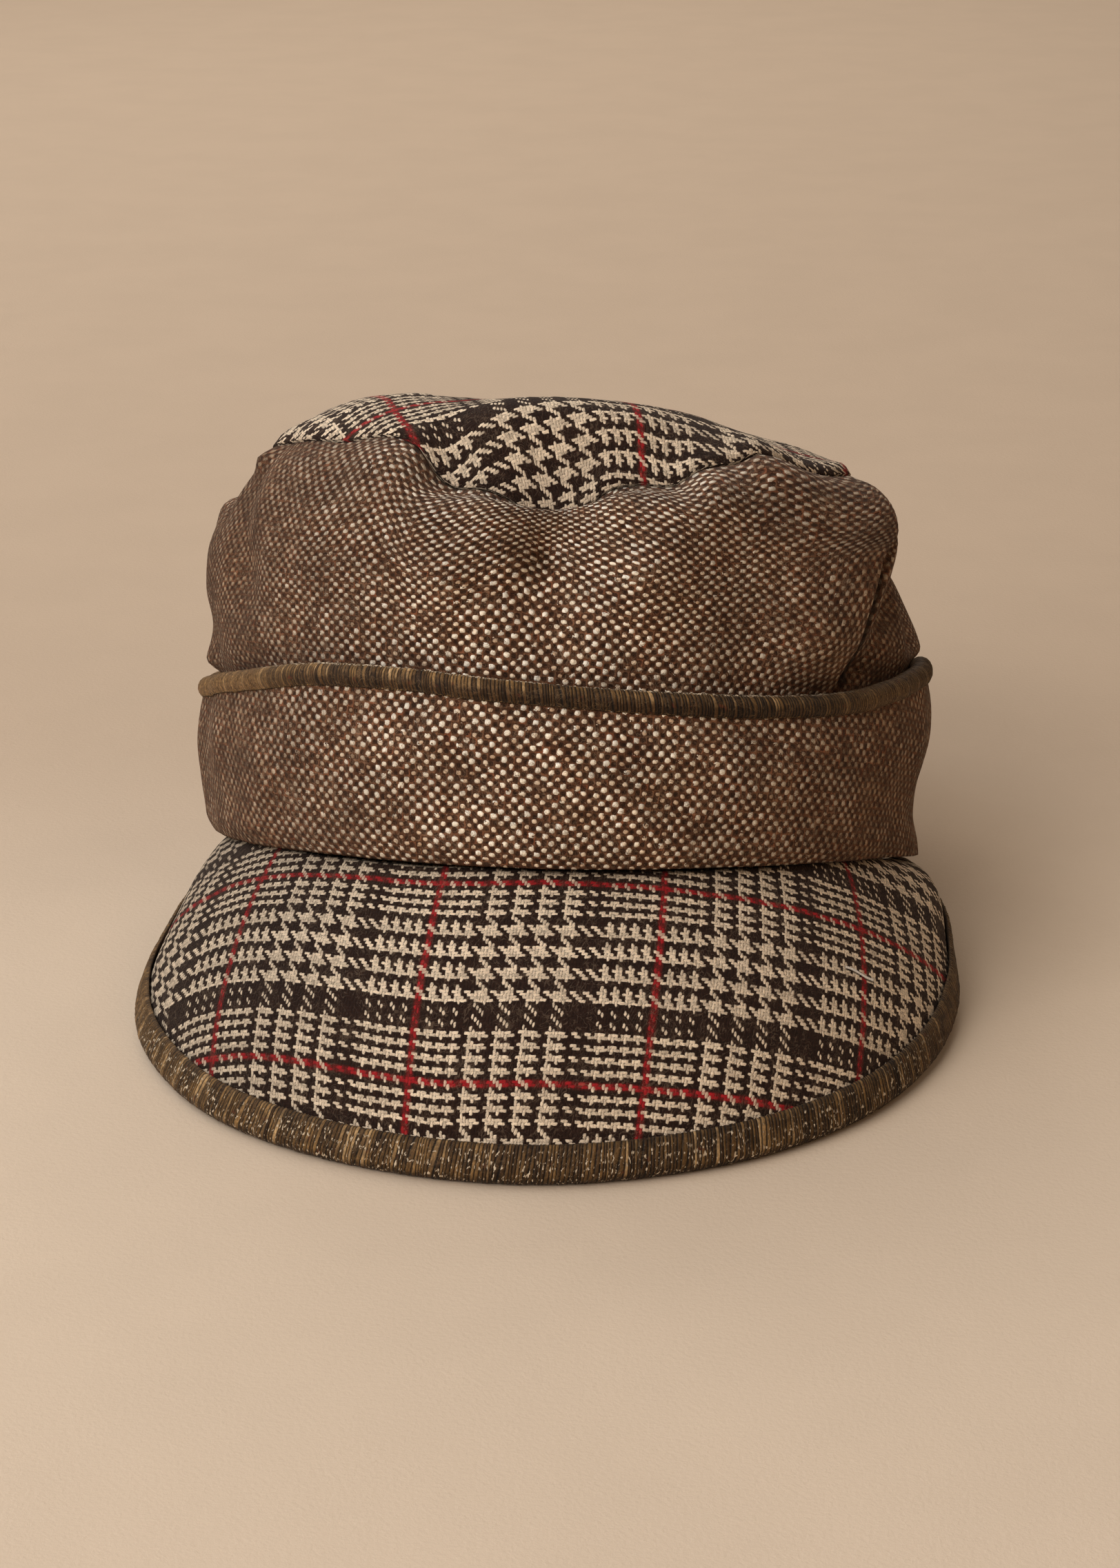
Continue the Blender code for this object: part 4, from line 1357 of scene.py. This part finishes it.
def crown_tip(settings):
    """The round panel on top of the crown, lofted from the middle of its inside out and back over its top."""
    angles = columns(TIP_COLUMNS)
    start = GAP / RIM_HALF_WIDTH
    reaches = [1 + start + (1 - start) * (index / TIP_RINGS) for index in range(TIP_RINGS + 1)]
    outer = []
    for reach in reaches:
        dip = (reach - 1) * RIM_HALF_WIDTH / SEAM_ROLL_WIDTH
        ring = []
        for angle in angles:
            point = skin(angle, min(reach, TIP_LAST_REACH))
            uneven = crumple(point, TIP_CRUMPLES) * smooth_step(1.0, 1.1, reach)
            point.z += uneven - SEAM_ROLL * math.exp(-dip * dip)
            ring.append(point)
        outer.append(ring)
    centre = sum(outer[-1], Vector()) / len(outer[-1])
    outer[-1] = [centre.copy() for _ in angles]
    steep = wall(outer, grid_normals(outer), CLOTH, range(TIP_STEEP_RINGS))
    down = Vector((0, 0, -CLOTH))
    flat_rows = range(TIP_STEEP_RINGS, TIP_RINGS + 1, TIP_INNER_STEP)
    inner = steep + [[point + down for point in outer[row]] for row in flat_rows]
    spokes = [arc_lengths(spoke) for spoke in zip(*outer[::-1])]
    spokes = [evened(spokes, j) for j in range(len(spokes))]
    rings = []
    for row, ring in enumerate(inner[::-1]):
        radius = row / (len(inner) - 1) * TIP_INNER_RADIUS
        rings.append([(stand(point), tip_map(angle, radius)) for angle, point in zip(angles, ring)])
    for row, ring in enumerate(outer):
        spots = [tip_map(angle, lengths[TIP_RINGS - row]) for angle, lengths in zip(angles, spokes)]
        rings.append([(stand(point), spot) for point, spot in zip(ring, spots)])
    piece = loft("crown_tip_cloth", rings, check_material(settings), False)
    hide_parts("crown_tip")
    return piece


def evened(spokes, j):
    """One spoke's lengths, as the mean of its own and its neighbours'."""
    near = [spokes[(j + step) % len(spokes)] for step in range(-TIP_EVEN, TIP_EVEN + 1)]
    return [sum(lengths) / len(near) for lengths in zip(*near)]


def tip_map(angle, distance):
    """Cloth map of the tip at a distance from its centre, in millimetres."""
    x, y = distance * math.sin(angle), -distance * math.cos(angle)
    cosine, sine = TIP_TURN
    return ((TIP_RED[0] - cosine * x - sine * y) * TIP_STRETCH, cosine * y - sine * x - TIP_RED[1])


def cuff_point(angle, share, offset):
    """A point of the cuff with its folds and unevenness. At its foot, all but its inner face rounds in."""
    place = cuff_face(angle, share, offset)
    flared = math.exp(-(((math.degrees(angle) - FLARED_ANGLE) / FLARED_HALF_WIDTH) ** 2))
    round_in = 0.0
    if offset:
        round_in = max(1 - share / CUFF_FOOT_SHARE, 0.0) ** 2 * (1 - FLARED_SHARE * flared)
    uneven = crumple(place, CUFF_CRUMPLES)
    place += outwards(angle) * (cuff_fold(angle, share) + uneven - CUFF_FOOT_DEPTH * round_in)
    place.z -= CUFF_FOOT_DROP * round_in
    return place


def cuff(settings):
    """The band turned up round the outside of the crown."""
    angles = columns(SIDE_COLUMNS)
    shares = [(index / CUFF_ROWS_UP) ** CUFF_ROW_POWER for index in range(CUFF_ROWS_UP + 1)]
    outer = [[cuff_point(angle, share, CLOTH) for angle in angles] for share in shares]
    inner = [[cuff_point(angle, share, 0) for angle in angles] for share in shares[::-CUFF_INNER_STEP]]
    around = arc_lengths(outer[CUFF_ROWS_UP // 2])
    middle = around[len(around) // 2]
    around = [length - middle for length in around]
    rings = []
    for ring, up in zip(outer, zip(*(arc_lengths(column) for column in zip(*outer)))):
        spots = [(across + CUFF_MAP_SHIFT, length) for across, length in zip(around, up)]
        rings.append([(stand(point), spot) for point, spot in zip(ring, spots)])
    first, step = CUFF_INNER_MAP
    for count, ring in enumerate(inner):
        down = first + count * step
        rings.append([(stand(point), (across, down)) for point, across in zip(ring, around)])
    piece = loft("cuff_cloth", rings, tweed_material(settings), True)
    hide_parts("cuff")
    return piece


def spread(rings, spacing):
    """(distance along, ring) of rings set closer together, on straight lines between the given ones."""
    middle = [ring[0] for ring in rings]
    lengths = arc_lengths(middle)
    count = int(lengths[-1] / (spacing / MM))
    found, index = [], 0
    for step in range(count + 1):
        place = lengths[-1] * step / count
        while index < len(lengths) - 2 and lengths[index + 1] < place:
            index += 1
        share = (place - lengths[index]) / max(lengths[index + 1] - lengths[index], 1e-9)
        ring = [point.lerp(following, share) for point, following in zip(rings[index], rings[index + 1])]
        found.append((place, ring))
    return found


def rib_rings(rings, ribbed, pitch, height, seed, across_from):
    """Rings of (place, map) pairs of a braid with its ribs raised.

    ribbed says which points of a ring the ribs move, and across_from gives the map's distance across the
    braid from that along the ring.
    """
    rng = random.Random(seed)
    sizes = {}
    made = []
    fine = spread(rings, pitch / RIB_STEPS)
    middle = fine[-1][0] / 2
    for place, ring in fine:
        wobble = noise.noise(Vector((place * RIB_WANDER_RATE, 0, seed))) * RIB_WANDER
        centre = sum((point for point, moves in zip(ring, ribbed) if moves), Vector()) / sum(ribbed)
        line = []
        for point, across, moves in zip(ring, arc_lengths(ring), ribbed):
            along = place + wobble + RIB_SLANT * across
            rib, share = divmod(along / (pitch / MM), 1.0)
            # a size is drawn for every point, even where its rib has one already, and the look rests on that
            size = sizes.setdefault(rib, rng.uniform(*RIB_SIZES))
            rise = height * (size * math.sin(math.pi * share) ** RIB_FLATNESS - 0.5)
            moved = point + (point - centre).normalized() * rise if moves else point
            line.append((moved, (along - middle, across_from(across))))
        made.append(line)
    return made


def turn_rings(rings):
    """From sections across a piece to lines along it."""
    return [list(line) for line in zip(*rings)]


def cuff_binding(settings):
    """Braid wrapped over the cuff's upper edge, with a slot for the cloth."""
    tall, deep, slot = BINDING_HALF_HEIGHT, BINDING_HALF_DEPTH, CLOTH / 2 + GAP
    section = []
    for index in range(BRAID_POINTS):
        turn = math.radians(BRAID_START + BRAID_SWEEP * index / (BRAID_POINTS - 1))
        section.append((tall * math.sin(turn), deep * math.cos(turn)))
    foot = -tall * BRAID_SLOT_DEPTH
    section += [(foot, -slot), (GAP, -slot), (GAP, slot), (foot, slot)]
    ribbed = [index < BRAID_POINTS for index in range(len(section))]
    sections = []
    for angle in columns(SIDE_COLUMNS):
        middle = cuff_point(angle, 1.0, CLOTH / 2)
        below = cuff_point(angle, BRAID_BELOW, CLOTH / 2)
        up = (middle - below).normalized()
        out = rim_normal(angle)
        across = (out - up * out.dot(up)).normalized()
        sections.append([stand(middle + up * rise + across * depth) for rise, depth in section])
    sizes = (settings.rib_pitch, settings.rib_height)
    made = rib_rings(sections, ribbed, *sizes, CUFF_BRAID_SEED, lambda across: CUFF_BRAID_TOP - across)
    made = [section + section[:1] for section in made]
    material = braid_material(settings, "Cuff braid", CUFF_BRAID)
    piece = loft("cuff_braid", turn_rings(made), material, False)
    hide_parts("cuff_binding")
    return piece


def circle_meet(start, end, from_start, from_end, side):
    """The point of a flat sheet at given distances from two others, to one side of the line between them."""
    line = end - start
    length = line.length
    along = (from_start**2 - from_end**2 + length**2) / (2 * length)
    rise = math.sqrt(max(from_start**2 - along**2, 0.0))
    across = Vector((-line.y, line.x)) / length
    return start + line / length * along + across * rise * side


def unroll(sections):
    """Lays the peak's sections flat, from the middle one out: a list of (seam, edge) places."""
    count = len(sections)
    middle = count // 2
    lengths = [arc_lengths(section)[-1] for section in sections]
    flat = [None] * count
    flat[middle] = (Vector((0, 0)), Vector((0, -lengths[middle])))
    for side, order in ((1, range(middle + 1, count)), (-1, range(middle - 1, -1, -1))):
        for i in order:
            j = i - side
            seam, edge = sections[i][0], sections[i][-1]
            last_seam, last_edge = sections[j][0], sections[j][-1]
            bowed = lengths[j] / ((last_seam - last_edge).length / MM)
            diagonal = (seam - last_edge).length / MM * bowed
            new_seam = circle_meet(*flat[j], (seam - last_seam).length / MM, diagonal, side)
            step = (edge - last_edge).length / MM
            new_edge = circle_meet(new_seam, flat[j][1], lengths[i], step, side)
            flat[i] = (new_seam, new_edge)
    return flat


def peak_map(place):
    """Cloth map of the peak from its place on the flat sheet, in millimetres."""
    droop = CHECK_DROOP * smooth_step(*CHECK_DROOPS, -place.x)
    across = place.x - CHECK_SLANT * place.y - CHECK_RED[0]
    return (across, CHECK_RED[1] - (place.y - droop))


def peak(settings):
    """The stiff peak: cloth over a board, from under the cuff to the braid on its edge."""
    shares = peak_shares(PEAK_COLUMNS)
    steps = [index / PEAK_ROWS for index in range(PEAK_ROWS + 1)]
    tops = []
    for share in shares:
        section = [peak_point(share, step) for step in steps]
        for point, step in zip(section, steps):
            point.z += crumple(point, PEAK_CRUMPLES) * (1 - step)
        tops.append(section)
    flat = unroll(tops)
    sections = []
    for share, top, (seam, edge) in zip(shares, tops, flat):
        kept = list(zip(top, steps))[::-PEAK_INNER_STEP]
        under = [point - peak_frame(share, step)[1] * PEAK_THICK for point, step in kept]
        lengths = arc_lengths(top)
        spots = [peak_map(seam.lerp(edge, length / lengths[-1])) for length in lengths]
        line = list(zip(top, spots))
        for index, point in enumerate(under):
            across, along = peak_map(edge.lerp(seam, index / (len(under) - 1)))
            line.append((point, (across, along + UNDER_SHIFT)))
        sections.append(line + line[:1])
    piece = loft("peak_cloth", turn_rings(sections), check_material(settings), False)
    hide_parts("peak")
    return piece


def peak_binding(settings):
    """Braid wrapped over the peak's edge, flattened where it rests."""
    sections = []
    for share in peak_shares(PEAK_COLUMNS):
        seam, edge, _ = peak_line(share)
        grown = smooth_step(*EDGE_ENDS, min(share, 1 - share))
        width = EDGE_BINDING_WIDTH * (EDGE_WIDTHS[0] + EDGE_WIDTHS[1] * grown)
        width = min(width, (edge - seam).length * EDGE_MOST)
        roll = EDGE_ROLL * (EDGE_ROLLS[0] + EDGE_ROLLS[1] * grown)
        above, below = GAP, -PEAK_THICK - GAP
        over, under = above + BINDING_CLOTH, below - BINDING_CLOTH
        section = [(width * part, above + BINDING_CLOTH * cloth) for part, cloth in EDGE_TOP]
        middle, half = (over + under) / 2, (over - under) / 2
        for index in range(EDGE_BEND):
            turn = math.pi * index / (EDGE_BEND - 1)
            section.append((-roll * math.sin(turn) ** EDGE_FLATNESS, middle + half * math.cos(turn)))
        section += [(width * part, under) for part in EDGE_UNDER]
        outside = len(section)
        section += [(width, below), (width * 0.5, below), (-GAP, below)]
        section += [(-GAP, above), (width * 0.5, above), (width * 0.95, above)]
        ribbed = [index < outside for index in range(len(section))]
        ring = [peak_place(share, back, rise) for back, rise in section]
        sections.append([Vector((x, y, max(z, 0.0))) for x, y, z in ring])
    sizes = (settings.rib_pitch, settings.rib_height)
    made = rib_rings(sections, ribbed, *sizes, PEAK_BRAID_SEED, lambda across: across)
    for ring in made:
        for place, _ in ring:
            place.z = max(place.z, 0.0)
    made = [section + section[:1] for section in made]
    material = braid_material(settings, "Peak braid", PEAK_BRAID)
    piece = loft("peak_braid", turn_rings(made), material, False)
    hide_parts("peak_binding")
    return piece


# ---------------------------------------------------------------- stage

CAMERA_AZIMUTH = 2.5
CAMERA_ELEVATION = 22.0
CAMERA_DISTANCE = 0.791
CAMERA_TARGET = Vector((0.0003, 0.0155, 0.037))
CAMERA_LENS = 70
CAMERA_SENSOR = 36
SWEEP_STEPS = 12
SWEEP_ANGLE = 80  # degrees that the floor's edge turns up
AMBIENT_COLOUR = (1.0, 0.93, 0.85, 1)

# A broad light from the front left, weaker ones from the sides, the front right and above, and two that
# light the backdrop
LIGHTS = (
    # name, place, target, size, power as a share of the setting, colour
    ("key_low", (-0.965, -1.15, 0.85), (0, 0, 0.05), 1.2, 0.27, (1.0, 0.93, 0.88)),
    ("key_high", (-0.673, -0.802, 1.39), (0, 0, 0.05), 1.3, 0.155, (1.0, 0.95, 0.91)),
    ("side", (-1.043, 0.091, 1.39), (0, 0, 0.05), 0.9, 0.11, (0.86, 0.9, 0.96)),
    ("fill", (0.861, -1.23, 0.848), (0, 0, 0.05), 1.1, 0.055, (1.0, 0.62, 0.34)),
    ("top", (-0.1, 0.2, 1.9), (0, 0, 0.05), 1.2, 0.035, (1.0, 0.8, 0.6)),
    ("far_side", (1.15, 0.35, 1.0), (0, 0, 0.03), 1.1, 0.04, (1.0, 0.86, 0.72)),
    ("backdrop", (0, 2.0, 1.6), (0, 1.7, 0), 1.4, 0.335, (1.0, 0.93, 0.86)),
    ("backdrop_side", (-1.0, 1.2, 1.4), (-0.4, 1.0, 0), 1.0, 0.18, (1.0, 0.96, 0.92)),
)


def stage_material(stage):
    """Warm paper, a little darker towards the back."""
    material, graph, surface = new_material("Warm paper")
    here = graph.node("TexCoord").outputs["Object"]
    _, y, _ = graph.split(here)
    # painted shade: the paper goes from the floor colour in front to the darker back colour, from 6 cm in
    # front of the middle to 16 cm behind it
    back = graph.span(y, -0.06, 0.16)
    colour = graph.mix(back, (*stage.floor_colour, 1), (*stage.back_colour, 1))
    mottle = graph.span(graph.noise(here, 0.05, 4.0, 0.6), 0.3, 0.7, 0.985, 1.015)
    colour = graph.shade(colour, mottle)
    graph.feed(surface.inputs["Base Color"], colour)
    surface.inputs["Roughness"].default_value = 0.95
    surface.inputs["Specular IOR Level"].default_value = 0.1
    grain = graph.noise(here, 0.0012, 3.0, 0.6)
    bump = graph.node("Bump", {"Strength": 0.5, "Distance": 0.0003, "Height": grain})
    graph.feed(surface.inputs["Normal"], bump.outputs[0])
    return material


def soft_light(name, place, target, size, power, colour):
    """A square soft box that points at target."""
    data = bpy.data.lights.new(name, "AREA")
    data.size = size
    data.energy = power
    data.color = colour
    lamp = bpy.data.objects.new(name, data)
    lamp.location = place
    lamp.rotation_mode = "QUATERNION"
    lamp.rotation_quaternion = (Vector(place) - Vector(target)).to_track_quat("Z", "Y")
    bpy.context.scene.collection.objects.link(lamp)
    return lamp


def make_floor(stage):
    """A round floor whose edge sweeps up to a backdrop."""
    bm = bmesh.new()
    bmesh.ops.create_circle(bm, cap_ends=True, radius=stage.floor_radius, segments=96)
    rim = [edge for edge in bm.edges if edge.is_boundary]
    for index in range(1, SWEEP_STEPS + 1):
        turn = math.radians(SWEEP_ANGLE * index / SWEEP_STEPS)
        grown = bmesh.ops.extrude_edge_only(bm, edges=rim)["geom"]
        verts = [item for item in grown if isinstance(item, bmesh.types.BMVert)]
        rim = [item for item in grown if isinstance(item, bmesh.types.BMEdge)]
        radius = stage.floor_radius + stage.sweep_radius * math.sin(turn)
        height = stage.sweep_radius * (1 - math.cos(turn))
        for vert in verts:
            flat = Vector((vert.co.x, vert.co.y, 0)).normalized() * radius
            vert.co = (flat.x, flat.y, height)
    bmesh.ops.recalc_face_normals(bm, faces=bm.faces[:])
    mesh = bpy.data.meshes.new("floor")
    bm.to_mesh(mesh)
    bm.free()
    mesh.shade_smooth()
    mesh.materials.append(stage_material(stage))
    floor = bpy.data.objects.new("floor", mesh)
    bpy.context.scene.collection.objects.link(floor)


def make_lights(stage):
    """The soft boxes, and a little light all round."""
    for name, place, target, size, share, colour in LIGHTS:
        soft_light(name, place, target, size, share * stage.light_power, colour)
    world = bpy.data.worlds.new("Studio")
    bpy.context.scene.world = world
    world.use_nodes = True
    background = world.node_tree.nodes["Background"]
    background.inputs["Color"].default_value = AMBIENT_COLOUR
    background.inputs["Strength"].default_value = stage.ambient


def make_camera():
    """The camera, at the photo's angle."""
    azimuth, elevation = math.radians(CAMERA_AZIMUTH), math.radians(CAMERA_ELEVATION)
    level = math.cos(elevation)
    back = Vector((math.sin(azimuth) * level, -math.cos(azimuth) * level, math.sin(elevation)))
    data = bpy.data.cameras.new("camera")
    data.lens = CAMERA_LENS
    data.sensor_width = CAMERA_SENSOR
    camera = bpy.data.objects.new("camera", data)
    camera.location = CAMERA_TARGET + back * CAMERA_DISTANCE
    camera.rotation_mode = "QUATERNION"
    camera.rotation_quaternion = back.to_track_quat("Z", "Y")
    bpy.context.scene.collection.objects.link(camera)
    bpy.context.scene.camera = camera
    bpy.context.scene.view_settings.view_transform = "Standard"


def build_stage(stage):
    """The floor, the lights and the camera."""
    make_floor(stage)
    make_lights(stage)
    make_camera()


# ---------------------------------------------------------------- add-on


def length_setting(name, description, default):
    """A length in metres that a user may change."""
    return FloatProperty(name=name, description=description, default=default, unit="LENGTH", precision=5)


def colour_setting(name, description, default):
    """A colour that a user may change."""
    return FloatVectorProperty(name=name, description=description, default=default, subtype="COLOR", size=3)


class CapCloth(bpy.types.PropertyGroup):
    """The tweed and the check"""

    tweed_cell: length_setting("Tweed cell", "Width of one dot of the bird's-eye tweed", 1.54 * MM)
    yarn_pitch: length_setting("Yarn pitch", "Distance from one yarn of the check to the next", 0.714 * MM)
    check_pale: colour_setting("Check pale", "Pale yarn of the check", srgb(255, 234, 205))
    check_dark: colour_setting("Check dark", "Dark yarn of the check", srgb(46, 28, 20))
    check_red: colour_setting("Check red", "Overcheck yarn", srgb(178, 34, 40))


class CapBraid(bpy.types.PropertyGroup):
    """The braid on the cuff and on the peak"""

    rib_pitch: length_setting("Rib pitch", "Distance from one rib of the braid to the next", 0.88 * MM)
    rib_height: length_setting("Rib height", "How far a rib stands out", 0.2 * MM)


class CapStage(bpy.types.PropertyGroup):
    """The floor and the lights"""

    floor_radius: length_setting("Floor radius", "Where the floor starts to sweep up", 2.6)
    sweep_radius: length_setting("Sweep radius", "Radius of the sweep from floor to backdrop", 1.2)
    floor_colour: colour_setting("Floor colour", "Paper in front of the cap", srgb(226, 207, 184))
    back_colour: colour_setting("Back colour", "Paper behind the cap", srgb(208, 186, 162))
    light_power: FloatProperty(
        name="Lights", description="Power that every lamp takes its share of", default=47.5, unit="POWER"
    )
    ambient: FloatProperty(name="Ambient", description="Strength of the light all round", default=0.012)


class CapOperator:
    """Shared by the operators: a piece is built from one group of settings"""

    bl_options = {"REGISTER", "UNDO"}
    settings = "cap_cloth"

    def execute(self, context):
        """Builds the piece."""
        make_groups(context.scene.cap_cloth)
        self.build(getattr(context.scene, self.settings))
        return {"FINISHED"}


def piece_operator(name, label, note, settings, build):
    """An operator class that builds one piece."""
    parts = {
        "bl_idname": "cap." + name,
        "bl_label": label,
        "__doc__": note,
        "settings": settings,
        "build": staticmethod(build),
    }
    return type("CAP_OT_" + name, (CapOperator, bpy.types.Operator), parts)


PIECES = (
    piece_operator("stage", "Stage", "Builds the floor, the lights and the camera", "cap_stage", build_stage),
    piece_operator("crown_side", "Crown side", "Builds the crown's tweed side", "cap_cloth", crown_side),
    piece_operator("crown_tip", "Crown tip", "Builds the crown's checked top", "cap_cloth", crown_tip),
    piece_operator("cuff", "Cuff", "Builds the turned-up cuff", "cap_cloth", cuff),
    piece_operator("cuff_binding", "Cuff braid", "Builds the braid on the cuff", "cap_braid", cuff_binding),
    piece_operator("peak", "Peak", "Builds the checked peak", "cap_cloth", peak),
    piece_operator("peak_binding", "Peak braid", "Builds the braid on the peak", "cap_braid", peak_binding),
)


class CAP_PT_panel(bpy.types.Panel):
    """Sizes and colours of the cap, and a button for each piece"""

    bl_label = "Tweed cap"
    bl_idname = "CAP_PT_panel"
    bl_space_type = "VIEW_3D"
    bl_region_type = "UI"
    bl_category = "Cap"

    def draw(self, context):
        for group in ("cap_cloth", "cap_braid", "cap_stage"):
            settings = getattr(context.scene, group)
            box = self.layout.box()
            for name in settings.bl_rna.properties.keys():
                if name not in ("rna_type", "name"):
                    box.prop(settings, name)
        for operator in PIECES:
            self.layout.operator(operator.bl_idname)


CLASSES = (CapCloth, CapBraid, CapStage, *PIECES, CAP_PT_panel)


def register():
    """Adds the classes, and the settings to every scene."""
    for item in CLASSES:
        bpy.utils.register_class(item)
    bpy.types.Scene.cap_cloth = PointerProperty(type=CapCloth)
    bpy.types.Scene.cap_braid = PointerProperty(type=CapBraid)
    bpy.types.Scene.cap_stage = PointerProperty(type=CapStage)


def unregister():
    """Takes the settings and the classes away again."""
    del bpy.types.Scene.cap_stage
    del bpy.types.Scene.cap_braid
    del bpy.types.Scene.cap_cloth
    for item in reversed(CLASSES):
        bpy.utils.unregister_class(item)


def main():
    """Builds everything, and writes the model's box before and after."""
    register()
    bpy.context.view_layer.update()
    for operator in PIECES:
        getattr(bpy.ops.cap, operator.bl_idname.split(".")[1])()


if __name__ == "__main__":
    main()
